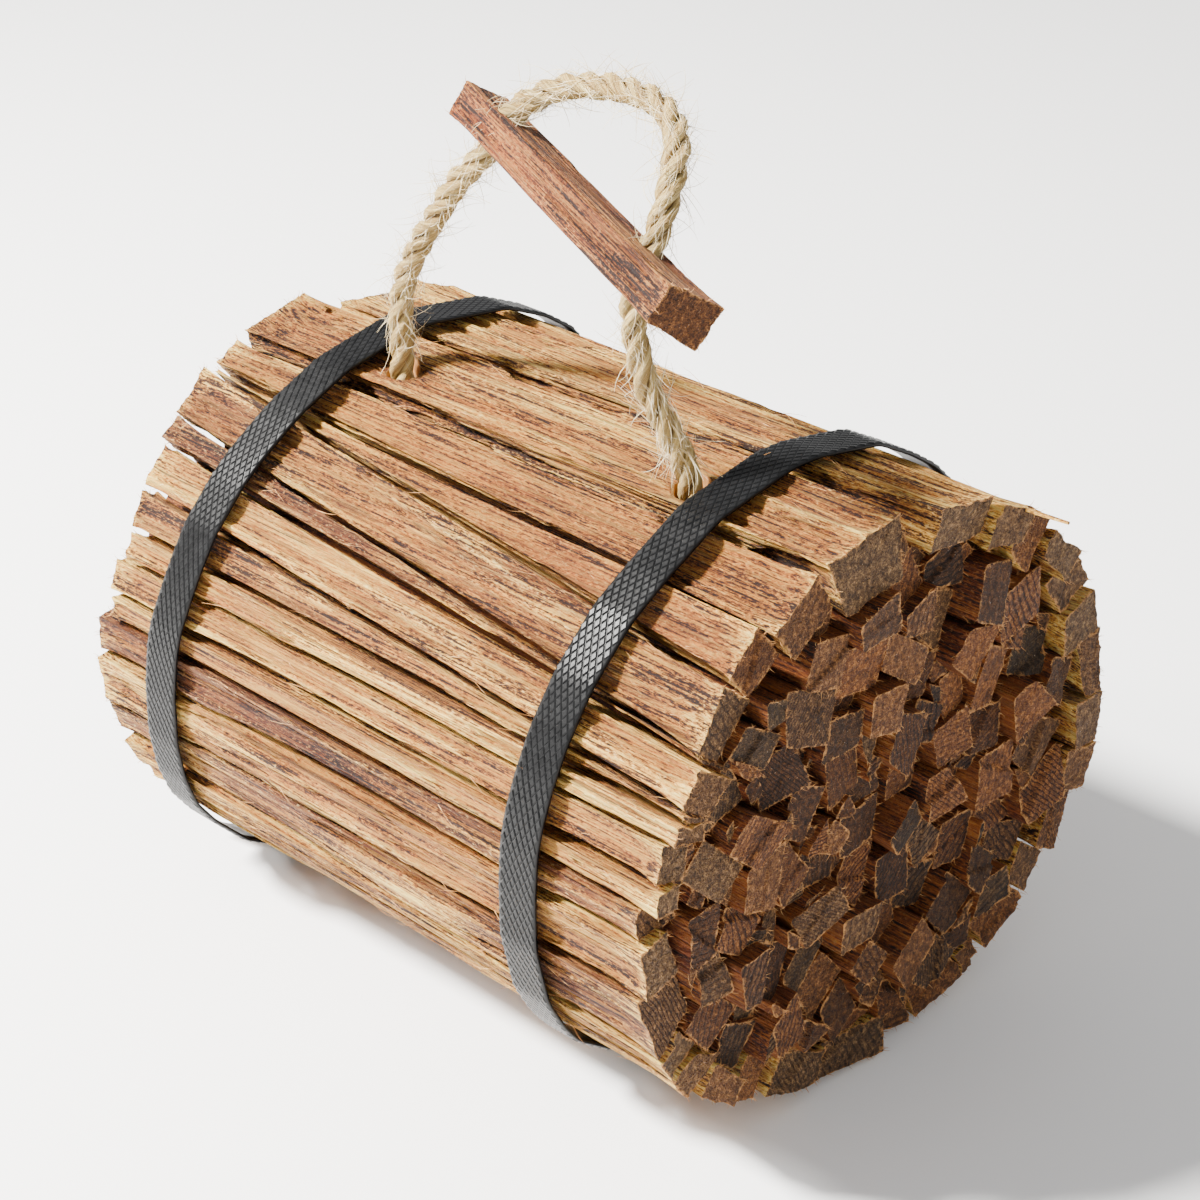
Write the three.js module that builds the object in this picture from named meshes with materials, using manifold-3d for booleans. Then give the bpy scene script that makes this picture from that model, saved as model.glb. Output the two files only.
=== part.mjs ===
// A bundle of split fatwood sticks lying on its side: two plastic straps hold the sticks, and a sisal
// rope threaded through the top plank carries a loose wooden grip. Millimetres, +Z up. The sticks run
// along X, with the sawn face that shows the grip's low end at +X. The model is drawn about the
// bundle's axis, and moved at the end so that the origin is the middle of its base.
import * as THREE from 'three';
import * as BufferGeometryUtils from 'three/addons/utils/BufferGeometryUtils.js';
import Module from 'manifold-3d';

const wasm = await Module();
wasm.setup();

// Driving dimensions.
const clearance = 0.5;
const sawnLength = { shortest: 198, longest: 205 };
const outline = { halfWidth: 83.5, halfHeight: 79.5, flatBottom: 77.4, centreY: 2.5, lowerPower: 2.4 };
const ends = { back: -104, front: 98, leanY: 0.03, leanZ: 0.05, outerScatter: 3, innerScatter: 6.5 };
const ringSteps = 6;
const strap = { width: 12, thickness: 0.8, slack: 0.4 };
const strapPlaces = [
  { name: 'strap_back', x: -78, lean: 0.15 },
  { name: 'strap_front', x: 55.5, lean: 0.07 },
];
const ropeDiameter = 6.4;
const holeDiameter = 9.6;
const plankHoles = [[-52, -17.3], [49.5, -17.3]];
const innerSticks = { count: 80, separate: [16, 21], coreEnds: [-92, 78], pitch: 13.6 };
const splinter = { angle: -27.5, from: 62, to: 117, width: 3.4, height: 1.8, sunk: 1.4, lift: 0.4 };

// The outer sticks in order, from the top towards -Y. Each row is an edge between two sticks as an
// angle from the top in degrees, at the back and the front end, then the depth of the stick that
// starts there and how far its back and front are sunk below the outline.
const outerEdges = [
  { back: 3.0, front: -3.8, depth: 0 },
  { back: 5.8, front: 2.0, depth: 17, name: 'rope_plank' },
  { back: 21.8, front: 20.4, depth: 13, sink: [1.5, 1] },
  { back: 29.2, front: 34.4, depth: 12, sink: [4, 0.5] },
  { back: 31.2, front: 44.8, depth: 14, sink: [0, 0] },
  { back: 42.2, front: 57.4, depth: 11, sink: [1, 3.5] },
  { back: 48.2, front: 59.2, depth: 12, sink: [0, 0.5] },
  { back: 58.0, front: 67.0, depth: 9, sink: [1.5, 2.5] },
  { back: 66.2, front: 69.0, depth: 12, sink: [0.8, 1] },
  { back: 72.8, front: 73.2, depth: 10, sink: [1, 0.5] },
  { back: 79.6, front: 80.8, depth: 8, sink: [0, 0.3] },
  { back: 85.0, front: 86.2, depth: 14, sink: [0.5, 1.5] },
  { back: 92.2, front: 91.6, depth: 12, sink: [0, 0.5] },
  { back: 101.6, front: 100.9, depth: 15, sink: [1.2, 0] },
  { back: 110.0, front: 116.0, depth: 11, sink: [0, 1] },
  { back: 119.0, front: 125.0, depth: 13, sink: [1, 0.5] },
];
const hiddenSide = { end: { back: 342, front: 340.2 }, steps: 19, spread: 0.3, depths: [9, 16], sinks: [0, 3], settled: 26 };
const topStick = { back: -17.8, front: -19.6, depth: 12, sink: [0.5, 0] };

// The grip: a short stick that the rope holds up in the air.
const grip = { length: 108, width: 17.5, height: 11, taper: 0.84, holes: [-36.5, 27.5] };
const gripCentre = new THREE.Vector3(14, -20.4, 136);
const gripAlong = new THREE.Vector3(0.939, -0.3, -0.17).normalize();
const gripUp = new THREE.Vector3(0.304, 0.485, 0.82);

// Repeatable noise from 0 to 1.
let seed = 4107;
function noise() {
  seed = (seed * 16807) % 2147483647;
  return seed / 2147483647;
}

function between(low, high) {
  return low + (high - low) * noise();
}

// Outline of the bundle's section, as a point [y, z] at an angle from the top towards -Y: round
// above, and squarer below, where the sticks have settled.
function outlinePoint(angle) {
  const turn = THREE.MathUtils.degToRad(angle);
  const [across, up] = [-Math.sin(turn), Math.cos(turn)];
  const power = up < 0 ? 2 / outline.lowerPower : 1;
  const y = outline.centreY + outline.halfWidth * Math.sign(across) * Math.abs(across) ** power;
  const z = outline.halfHeight * Math.sign(up) * Math.abs(up) ** power;
  return [y, Math.max(z, -outline.flatBottom)];
}

function towardsCentre(point, distance) {
  const y = point[0] - outline.centreY;
  const size = Math.hypot(y, point[1]);
  return [outline.centreY + y * (1 - distance / size), point[1] * (1 - distance / size)];
}

// Section of an outer stick between two angles: outer edge on the outline, inner edge narrower.
function outerSection(from, to, sink, depth, slant) {
  const shift = THREE.MathUtils.radToDeg(clearance / 2 / outline.halfHeight);
  const first = towardsCentre(outlinePoint(from + shift), sink);
  const last = towardsCentre(outlinePoint(to - shift), sink);
  const firstIn = towardsCentre(first, depth * (1 - Math.max(slant, 0)));
  const lastIn = towardsCentre(last, depth * (1 + Math.min(slant, 0)));
  return [first, last, lastIn, firstIn];
}

// Places of a stick's sawn ends: the bundle's ends lean a little, and each stick has slid.
function endsAt(section, scatter) {
  const middle = [0, 1].map((axis) => section.reduce((sum, point) => sum + point[axis], 0) / section.length);
  const plane = ends.front + ends.leanY * middle[0] + ends.leanZ * middle[1];
  const front = plane + between(-scatter, scatter);
  return [front - between(sawnLength.shortest, sawnLength.longest), front];
}

function makeOuterSticks() {
  const rows = [...outerEdges];
  const start = rows.at(-1);
  for (let i = 1; i <= hiddenSide.steps; i += 1) {
    const free = i < hiddenSide.steps ? hiddenSide.spread : 0;
    const share = (i + between(-free, free)) / hiddenSide.steps;
    const back = THREE.MathUtils.lerp(start.back, hiddenSide.end.back, share);
    const front = THREE.MathUtils.lerp(start.front, hiddenSide.end.front, share) + between(-free, free) * 5;
    const settled = Math.abs(back - 180) < hiddenSide.settled;
    const sink = [0, 1].map(() => between(...hiddenSide.sinks) * (settled ? 0 : 1));
    rows.push({ back, front, depth: between(...hiddenSide.depths), sink });
  }
  const sticks = [];
  for (let i = 1; i < rows.length - 1; i += 1) {
    const sink = rows[i].sink ?? [0, 0];
    const slant = rows[i].name ? 0 : between(-0.35, 0.35);
    const back = outerSection(rows[i].back, rows[i + 1].back, sink[0], rows[i].depth, slant);
    const front = outerSection(rows[i].front, rows[i + 1].front, sink[1], rows[i].depth, slant);
    const name = rows[i].name ?? `outer_stick_${String(i).padStart(2, '0')}`;
    sticks.push({ name, back, front, sinkFront: sink[1] });
  }
  sticks.at(-1).name = 'outer_stick_splintered';
  const { back, front, depth, sink } = topStick;
  sticks.push({
    name: 'outer_stick_top',
    back: outerSection(back, outerEdges[0].back, sink[0], depth, 0.1),
    front: outerSection(front, outerEdges[0].front, sink[1], depth, 0.1),
  });
  sticks.forEach((stick) => { stick.xs = endsAt(stick.front, ends.outerScatter); });
  return sticks;
}

// Section of an inner stick: a split block with uneven corners, some of them three-sided.
function splitSection() {
  const width = between(10, 18);
  const height = between(9, 14.5);
  const turn = between(0, Math.PI);
  const pinch = noise() < 0.3 ? between(0.45, 0.9) : between(0, 0.25);
  const corners = [[-1, -1], [1, -1], [1 - pinch, 1], [-1 + between(0, 0.35), 1]];
  return corners.map(([u, v]) => {
    const y = u * width * 0.5 * between(0.88, 1.06);
    const z = v * height * 0.5 * between(0.88, 1.06);
    return [y * Math.cos(turn) - z * Math.sin(turn), y * Math.sin(turn) + z * Math.cos(turn)];
  });
}

function moved(section, dy, dz, scale = 1) {
  return section.map(([y, z]) => [y * scale + dy, z * scale + dz]);
}

// Deepest push that parts two convex sections by the clearance, or null where they are clear.
function overlapOf(first, second) {
  let best = null;
  for (const shape of [first, second]) {
    for (let i = 0; i < shape.length; i += 1) {
      const [y0, z0] = shape[i];
      const [y1, z1] = shape[(i + 1) % shape.length];
      const size = Math.hypot(y1 - y0, z1 - z0);
      const normal = [(z1 - z0) / size, (y0 - y1) / size];
      const spread = (points) => points.map(([y, z]) => y * normal[0] + z * normal[1]);
      const firstSpread = spread(first);
      const secondSpread = spread(second);
      const ahead = Math.max(...firstSpread) - Math.min(...secondSpread) + clearance;
      const behind = Math.max(...secondSpread) - Math.min(...firstSpread) + clearance;
      if (ahead <= 0 || behind <= 0) return null;
      const depth = Math.min(ahead, behind);
      const sign = ahead < behind ? 1 : -1;
      if (!best || depth < best.depth) best = { depth, y: normal[0] * sign, z: normal[1] * sign };
    }
  }
  return best;
}

// Section of an outer stick at a place along X. Neighbours share the same straight edge lines.
function sectionAt(stick, x) {
  const share = (x - ends.back) / (ends.front - ends.back);
  return stick.back.map((corner, i) => [0, 1].map(
    (axis) => THREE.MathUtils.lerp(corner[axis], stick.front[i][axis], share),
  ));
}

// Rows of blocks laid over the inside of the ring, before they are pushed apart.
function scatteredBlocks() {
  const blocks = [];
  const reach = outline.halfHeight - 16;
  const rowHeight = innerSticks.pitch * 0.88;
  for (let z = -reach; z <= reach; z += rowHeight) {
    for (let y = -reach; y <= reach; y += innerSticks.pitch) {
      const shiftedY = y + (blocks.length % 2) * 3 + between(-3, 3);
      if (Math.hypot(shiftedY, z) < reach) {
        blocks.push({ shape: splitSection(), y: outline.centreY + shiftedY, z: z + between(-2, 2), scale: 1 });
      }
    }
  }
  return blocks.slice(0, innerSticks.count);
}

// Blocks pushed apart inside the ring of outer sticks, and thinned where they stay jammed.
function packBlocks(ring) {
  const places = [-sawnLength.longest / 2, 0, sawnLength.longest / 2];
  const walls = ring.flatMap((stick) => places.map((x) => sectionAt(stick, x)));
  const blocks = scatteredBlocks();
  const shapeOf = (block) => moved(block.shape, block.y, block.z, block.scale);
  for (let pass = 0; pass < 500; pass += 1) {
    let touching = 0;
    blocks.forEach((block, index) => {
      const shape = shapeOf(block);
      for (const wall of walls) {
        const push = overlapOf(shape, wall);
        if (!push) continue;
        touching += 1;
        block.y -= push.y * push.depth * 0.6;
        block.z -= push.z * push.depth * 0.6;
        if (pass > 200) block.scale *= 0.99;
      }
      for (const other of blocks.slice(index + 1)) {
        if (Math.hypot(block.y - other.y, block.z - other.z) > 24) continue;
        const push = overlapOf(shapeOf(block), shapeOf(other));
        if (!push) continue;
        touching += 1;
        block.y -= push.y * push.depth * 0.3;
        block.z -= push.z * push.depth * 0.3;
        other.y += push.y * push.depth * 0.3;
        other.z += push.z * push.depth * 0.3;
        if (pass > 200) block.scale *= 0.99;
      }
    });
    if (!touching) break;
  }
  return blocks.map((block) => ({ section: shapeOf(block) }));
}

function nearestRadius(section) {
  let nearest = Infinity;
  section.forEach(([y0, z0], i) => {
    const [y1, z1] = section[(i + 1) % section.length];
    for (let step = 0; step <= 1; step += 0.05) {
      const y = y0 + (y1 - y0) * step - outline.centreY;
      nearest = Math.min(nearest, Math.hypot(y, z0 + (z1 - z0) * step));
    }
  });
  return nearest;
}

// Where the sorted radii step down the most, so that the core clears the sticks outside it.
function widestStep(radii, fewest, most) {
  let best = fewest;
  for (let i = fewest; i <= most; i += 1) {
    if (radii[i - 1] - radii[i] > radii[best - 1] - radii[best]) best = i;
  }
  return best;
}

// Closed solid through sections that have the same corners, at increasing places along X.
function loft(sections, xs) {
  const area = sections[0].reduce((sum, [y, z], i, all) => {
    const [nextY, nextZ] = all[(i + 1) % all.length];
    return sum + y * nextZ - z * nextY;
  }, 0);
  const count = sections[0].length;
  const points = [];
  const faces = [];
  sections.forEach((section, step) => {
    const ordered = area > 0 ? section : [...section].reverse();
    ordered.forEach(([y, z]) => points.push(xs[step], y, z));
  });
  for (let step = 0; step < sections.length - 1; step += 1) {
    for (let i = 0; i < count; i += 1) {
      const [here, next] = [step * count + i, step * count + ((i + 1) % count)];
      faces.push(here, next, here + count, next, next + count, here + count);
    }
  }
  const last = (sections.length - 1) * count;
  for (let i = 1; i < count - 1; i += 1) {
    faces.push(0, i + 1, i, last, last + i, last + i + 1);
  }
  const geometry = new THREE.BufferGeometry();
  geometry.setAttribute('position', new THREE.Float32BufferAttribute(points, 3));
  geometry.setIndex(faces);
  return geometry;
}

function outerStickGeometry(stick) {
  const xs = [];
  for (let step = 0; step <= ringSteps; step += 1) {
    xs.push(THREE.MathUtils.lerp(...stick.xs, step / ringSteps));
  }
  return loft(xs.map((x) => sectionAt(stick, x)), xs);
}

function straightStickGeometry({ section, xs }) {
  return loft([section, section], xs);
}

function solidOf(geometry) {
  const bare = geometry.clone();
  bare.deleteAttribute('normal');
  bare.deleteAttribute('uv');
  const merged = BufferGeometryUtils.mergeVertices(bare, 1e-4);
  const vertProperties = new Float32Array(merged.attributes.position.array);
  const triVerts = new Uint32Array(merged.index.array);
  return new wasm.Manifold(new wasm.Mesh({ numProp: 3, vertProperties, triVerts }));
}

function geometryOf(solid) {
  const mesh = solid.getMesh();
  const geometry = new THREE.BufferGeometry();
  geometry.setAttribute('position', new THREE.Float32BufferAttribute(mesh.vertProperties, 3));
  geometry.setIndex(Array.from(mesh.triVerts));
  return geometry;
}

function cylinderAlong(centre, direction, diameter, length) {
  const geometry = new THREE.CylinderGeometry(diameter / 2, diameter / 2, length, 20);
  const turn = new THREE.Quaternion().setFromUnitVectors(new THREE.Vector3(0, 1, 0), direction);
  geometry.applyQuaternion(turn);
  geometry.translate(centre.x, centre.y, centre.z);
  return geometry;
}

function drilled(geometry, holes) {
  let solid = solidOf(geometry);
  holes.forEach(({ centre, direction }) => {
    solid = solid.subtract(solidOf(cylinderAlong(centre, direction, holeDiameter, 60)));
  });
  return geometryOf(solid);
}

// Convex hull of points [y, z], counter-clockwise, by the monotone chain.
function hullOf(points) {
  const sorted = [...points].sort((a, b) => a[0] - b[0] || a[1] - b[1]);
  const turnsRight = (a, b, c) => (b[0] - a[0]) * (c[1] - a[1]) - (b[1] - a[1]) * (c[0] - a[0]) <= 0;
  const chain = (list) => {
    const kept = [];
    for (const point of list) {
      while (kept.length > 1 && turnsRight(kept.at(-2), kept.at(-1), point)) kept.pop();
      kept.push(point);
    }
    return kept.slice(0, -1);
  };
  return [...chain(sorted), ...chain(sorted.reverse())];
}

// A convex outline grown by a distance: each edge moves out and meets its neighbours again.
function grown(points, distance) {
  return points.map((point, i) => {
    const before = points.at(i - 1);
    const after = points[(i + 1) % points.length];
    const normals = [[before, point], [point, after]].map(([from, to]) => {
      const size = Math.hypot(to[0] - from[0], to[1] - from[1]);
      return [(to[1] - from[1]) / size, (from[0] - to[0]) / size];
    });
    const sum = [normals[0][0] + normals[1][0], normals[0][1] + normals[1][1]];
    const scale = distance * 2 / (sum[0] ** 2 + sum[1] ** 2);
    return [point[0] + sum[0] * scale, point[1] + sum[1] * scale];
  });
}

// Hull of what the strap presses on, at both of its edges.
function hullUnderStrap(sticks, { x, lean }) {
  const points = [];
  for (const edge of [-strap.width / 2, strap.width / 2]) {
    sticks.forEach((stick) => {
      const height = sectionAt(stick, x)[0][1];
      points.push(...sectionAt(stick, x + lean * height + edge));
    });
  }
  return hullOf(points).filter(([y, z], i, all) => {
    const [nextY, nextZ] = all[(i + 1) % all.length];
    return Math.hypot(nextY - y, nextZ - z) > 1;
  });
}

function strapGeometry(sticks, place) {
  const pressed = grown(hullUnderStrap(sticks, place), 0.05);
  const asPath = (points) => points.map(([y, z]) => new THREE.Vector2(y, z));
  const shape = new THREE.Shape(asPath(grown(pressed, strap.slack + strap.thickness)));
  shape.holes.push(new THREE.Path(asPath(grown(pressed, strap.slack))));
  const geometry = new THREE.ExtrudeGeometry(shape, { depth: strap.width, bevelEnabled: false });
  const position = geometry.attributes.position;
  for (let i = 0; i < position.count; i += 1) {
    const [y, z, along] = [position.getX(i), position.getY(i), position.getZ(i)];
    position.setXYZ(i, place.x + place.lean * z + along - strap.width / 2, y, z);
  }
  return geometry;
}

// The rope's middle line: out of one plank hole, up through the grip, over, and back down.
function ropeCurve() {
  const points = [
    [-52, -17.3, 64], [-52, -17.4, 72], [-51.9, -17.5, 80], [-51.4, -17.6, 92], [-49.6, -17.4, 100],
    [-45.6, -16.8, 108.4], [-37.2, -15.9, 121], [-30.8, -15.2, 129.8], [-25.4, -13.8, 135.6],
    [-21.8, -12, 141], [-18.6, -9.2, 147], [-13.6, -7.4, 151.6], [-4, -5.4, 156.4], [8, -4.4, 159],
    [19, -4.8, 159.6], [28.6, -6.2, 158.4], [34.8, -9, 155.6], [38.6, -13, 150.6], [41, -17.6, 144],
    [41.6, -21.6, 136.6], [40.4, -25, 129.6], [39.6, -27, 123], [39.6, -27.4, 116], [41, -26.6, 106],
    [43.6, -24.4, 96], [46.4, -21.6, 88], [48.4, -18.8, 80], [49.3, -17.6, 72], [49.5, -17.3, 64],
  ];
  return new THREE.CatmullRomCurve3(points.map((point) => new THREE.Vector3(...point)));
}

function ropeGeometry() {
  const section = new THREE.Shape();
  section.absarc(0, 0, ropeDiameter / 2, 0, Math.PI * 2);
  const round = new THREE.Shape(section.getPoints(5).slice(0, -1));
  return new THREE.ExtrudeGeometry(round, { steps: 78, extrudePath: ropeCurve(), bevelEnabled: false });
}

function gripGeometry() {
  const { length, width, height, taper } = grip;
  const front = [[-width / 2, -height / 2], [width / 2, -height * 0.62], [width / 2, height / 2],
    [-width / 2, height * 0.42]];
  const back = front.map(([y, z]) => [y * taper, z * 0.95]);
  const blank = loft([back, front], [-length / 2, length / 2]);
  const across = new THREE.Vector3().crossVectors(gripUp, gripAlong).normalize();
  const up = new THREE.Vector3().crossVectors(gripAlong, across);
  blank.applyMatrix4(new THREE.Matrix4().makeBasis(gripAlong, across, up).setPosition(gripCentre));
  const curve = ropeCurve();
  const holes = grip.holes.map((along) => {
    const target = gripCentre.clone().addScaledVector(gripAlong, along);
    let nearest = 0;
    for (let t = 0; t <= 1; t += 0.002) {
      if (curve.getPointAt(t).distanceTo(target) < curve.getPointAt(nearest).distanceTo(target)) nearest = t;
    }
    return { centre: curve.getPointAt(nearest), direction: curve.getTangentAt(nearest) };
  });
  return drilled(blank, holes);
}

function plankGeometry(stick) {
  const holes = plankHoles.map(([x, y]) => ({
    centre: new THREE.Vector3(x, y, outline.halfHeight),
    direction: new THREE.Vector3(0, 0, 1),
  }));
  return drilled(outerStickGeometry(stick), holes);
}

// The innermost sticks as one solid: a short core that joins them, with every stick's own tips.
function coreGeometry(sticks, radius) {
  const disc = [];
  for (let i = 0; i < 32; i += 1) {
    const turn = (i / 32) * Math.PI * 2;
    disc.push([outline.centreY + radius * Math.cos(turn), radius * Math.sin(turn)]);
  }
  let solid = solidOf(loft([disc, disc], innerSticks.coreEnds));
  sticks.forEach((stick) => { solid = solid.add(solidOf(straightStickGeometry(stick))); });
  return geometryOf(solid);
}

// An outer stick with a long splinter that has torn loose from it at the sawn face.
function splinteredGeometry(stick) {
  const [y, z] = towardsCentre(outlinePoint(splinter.angle), splinter.sunk + stick.sinkFront);
  const half = splinter.width / 2;
  const back = [[y - half, z - 1], [y + half, z - 1], [y + half, z - 0.4], [y - half, z - 0.2]];
  const front = [[y - 1, z + splinter.lift], [y + 1, z + splinter.lift - 0.4], [y + 0.8, z + splinter.height],
    [y - 0.9, z + splinter.height]];
  const sliver = loft([back, front], [splinter.from, splinter.to]);
  return geometryOf(solidOf(outerStickGeometry(stick)).add(solidOf(sliver)));
}

const colours = { wood: '#b98a5e', darkWood: '#9a6a4c', strap: '#2f3032', rope: '#d8c9a4' };
const model = new THREE.Group();
function addPiece(name, geometry, colour, roughness = 0.85) {
  const material = new THREE.MeshStandardMaterial({ color: colour, roughness, metalness: 0 });
  const mesh = new THREE.Mesh(geometry, material);
  mesh.name = name;
  model.add(mesh);
  return mesh;
}

const outerSticks = makeOuterSticks();
const specialSticks = { rope_plank: plankGeometry, outer_stick_splintered: splinteredGeometry };
for (const stick of outerSticks) {
  const makeGeometry = specialSticks[stick.name] ?? outerStickGeometry;
  addPiece(stick.name, makeGeometry(stick), colours.wood);
}

const packed = packBlocks(outerSticks);
packed.forEach((stick) => { stick.xs = endsAt(stick.section, ends.innerScatter); });
packed.sort((a, b) => nearestRadius(b.section) - nearestRadius(a.section));
const radii = packed.map((stick) => nearestRadius(stick.section));
const separateCount = widestStep(radii, ...innerSticks.separate);
const outermost = packed.slice(0, separateCount);
const innermost = packed.slice(separateCount);
outermost.forEach((stick, i) => {
  const name = `inner_stick_${String(i + 1).padStart(2, '0')}`;
  addPiece(name, straightStickGeometry(stick), colours.darkWood);
});
const coreRadius = (radii[separateCount - 1] + radii[separateCount]) / 2;
addPiece('inner_sticks', coreGeometry(innermost, coreRadius), colours.darkWood);

for (const place of strapPlaces) {
  addPiece(place.name, strapGeometry(outerSticks, place), colours.strap, 0.45);
}
addPiece('grip', gripGeometry(), colours.darkWood);
const rope = addPiece('rope', ropeGeometry(), colours.rope, 0.95);

const box = new THREE.Box3();
for (const mesh of model.children) {
  if (mesh !== rope) box.expandByObject(mesh);
}
const middle = box.getCenter(new THREE.Vector3());
model.position.set(-middle.x, -middle.y, -box.min.z);

export default model;
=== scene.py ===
import math

import bmesh
import bpy
import numpy as np
from mathutils import Matrix, Vector


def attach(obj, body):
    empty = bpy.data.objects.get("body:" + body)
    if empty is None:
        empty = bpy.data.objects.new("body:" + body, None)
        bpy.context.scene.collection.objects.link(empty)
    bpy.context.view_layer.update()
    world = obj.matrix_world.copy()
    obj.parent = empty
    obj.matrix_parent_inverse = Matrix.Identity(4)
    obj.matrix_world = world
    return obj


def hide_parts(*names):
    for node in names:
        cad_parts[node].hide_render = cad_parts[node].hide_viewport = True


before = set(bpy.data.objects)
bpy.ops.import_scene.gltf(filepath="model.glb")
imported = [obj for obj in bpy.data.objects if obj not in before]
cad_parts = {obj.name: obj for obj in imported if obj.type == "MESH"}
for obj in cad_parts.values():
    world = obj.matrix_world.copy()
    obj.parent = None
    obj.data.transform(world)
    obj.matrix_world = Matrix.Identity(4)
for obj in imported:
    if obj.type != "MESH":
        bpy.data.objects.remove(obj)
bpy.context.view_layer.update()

# A bundle of split kindling sticks in two straps, with a rope handle and a loose wooden grip.
# Metres. The sticks run along X; the bundle's own axis runs through bundleAxis.
mm = 0.001
fullTurn = 2 * np.pi
bundleAxis = Vector((-1.79, -2.22, 78.65)) * mm
axisYZ = np.array(bundleAxis)[1:]

cameraSpec = {
    "azimuth": 44.6, "elevation": 27.5, "distance": 722.6 * mm, "lens": 83.07,
    "right": 1.4 * mm, "up": 17.9 * mm,  # how far it slides off the line to the bundle's axis
}
studioSpec = {
    "sky": 0.72, "floor": 0.93, "floorReach": 6.0, "aim": (0, 0, 0.08),
    "lights": [  # name, place, size, power, colour
        ("key", (-0.75, -0.85, 1.25), 0.26, 180, (1.0, 0.975, 0.93)),
        ("side", (-0.83, -0.73, 0.77), 0.2, 13, (1.0, 0.975, 0.93)),
        ("fill", (1.2, -0.5, 0.9), 0.9, 2.5, (1.0, 0.98, 0.96)),
    ],
}


def linkObject(name, data):
    thing = bpy.data.objects.new(name, data)
    bpy.context.collection.objects.link(thing)
    return thing


def makeCamera():
    azimuth, elevation = (math.radians(cameraSpec[key]) for key in ("azimuth", "elevation"))
    back = Vector((math.sin(azimuth) * math.cos(elevation), -math.cos(azimuth) * math.cos(elevation),
                   math.sin(elevation)))
    right = Vector((math.cos(azimuth), math.sin(azimuth), 0))
    up = back.cross(right)
    cameraData = bpy.data.cameras.new("camera")
    cameraData.lens = cameraSpec["lens"]
    cameraData.clip_start, cameraData.clip_end = 0.05, 20
    camera = linkObject("camera", cameraData)
    place = bundleAxis + back * cameraSpec["distance"] + right * cameraSpec["right"] + up * cameraSpec["up"]
    turn = Matrix((right, up, back)).transposed().to_4x4()
    camera.matrix_world = Matrix.Translation(place) @ turn
    bpy.context.scene.camera = camera


def makeStudio():
    world = bpy.data.worlds.new("studio")
    bpy.context.scene.world = world
    world.use_nodes = True
    background = world.node_tree.nodes["Background"]
    background.inputs["Color"].default_value = (1.0, 1.0, 1.0, 1)
    background.inputs["Strength"].default_value = studioSpec["sky"]
    for name, place, size, power, colour in studioSpec["lights"]:
        lightData = bpy.data.lights.new(name, "AREA")
        lightData.shape, lightData.size, lightData.energy, lightData.color = "DISK", size, power, colour
        light = linkObject(name, lightData)
        light.location = place
        light.rotation_mode = "QUATERNION"
        light.rotation_quaternion = (Vector(studioSpec["aim"]) - Vector(place)).to_track_quat("-Z", "Y")
    reach = studioSpec["floorReach"]
    floorMesh = bpy.data.meshes.new("floor")
    floorMesh.from_pydata([(-reach, -reach, 0), (reach, -reach, 0), (reach, reach, 0), (-reach, reach, 0)],
                          [], [(0, 1, 2, 3)])
    finish = Finish("paleFloor")
    finish.paint((studioSpec["floor"],) * 3, 0.9)
    floorMesh.materials.append(finish.material)
    linkObject("floor", floorMesh)


class Tree:
    # A node tree with short ways to add to it. Any value can be a number, a tuple or a node's output.

    def __init__(self, tree):
        self.tree = tree

    def feed(self, socket, value):
        if isinstance(value, bpy.types.NodeSocket):
            self.tree.links.new(value, socket)
        else:
            socket.default_value = (*value, 1) if socket.type == "RGBA" else value

    def add(self, kind, inputs, **settings):
        node = self.tree.nodes.new(kind)
        for key, value in settings.items():
            setattr(node, key, value)
        for key, value in inputs.items():
            self.feed(node.inputs[key], value)
        return node

    def compute(self, operation, *values, clamp=False):
        inputs = dict(enumerate(values))
        return self.add("ShaderNodeMath", inputs, operation=operation, use_clamp=clamp).outputs[0]

    def times(self, first, second):
        return self.compute("MULTIPLY", first, second)

    def scaled(self, value, slope, offset, clamp=False):
        return self.compute("MULTIPLY_ADD", value, slope, offset, clamp=clamp)


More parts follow.
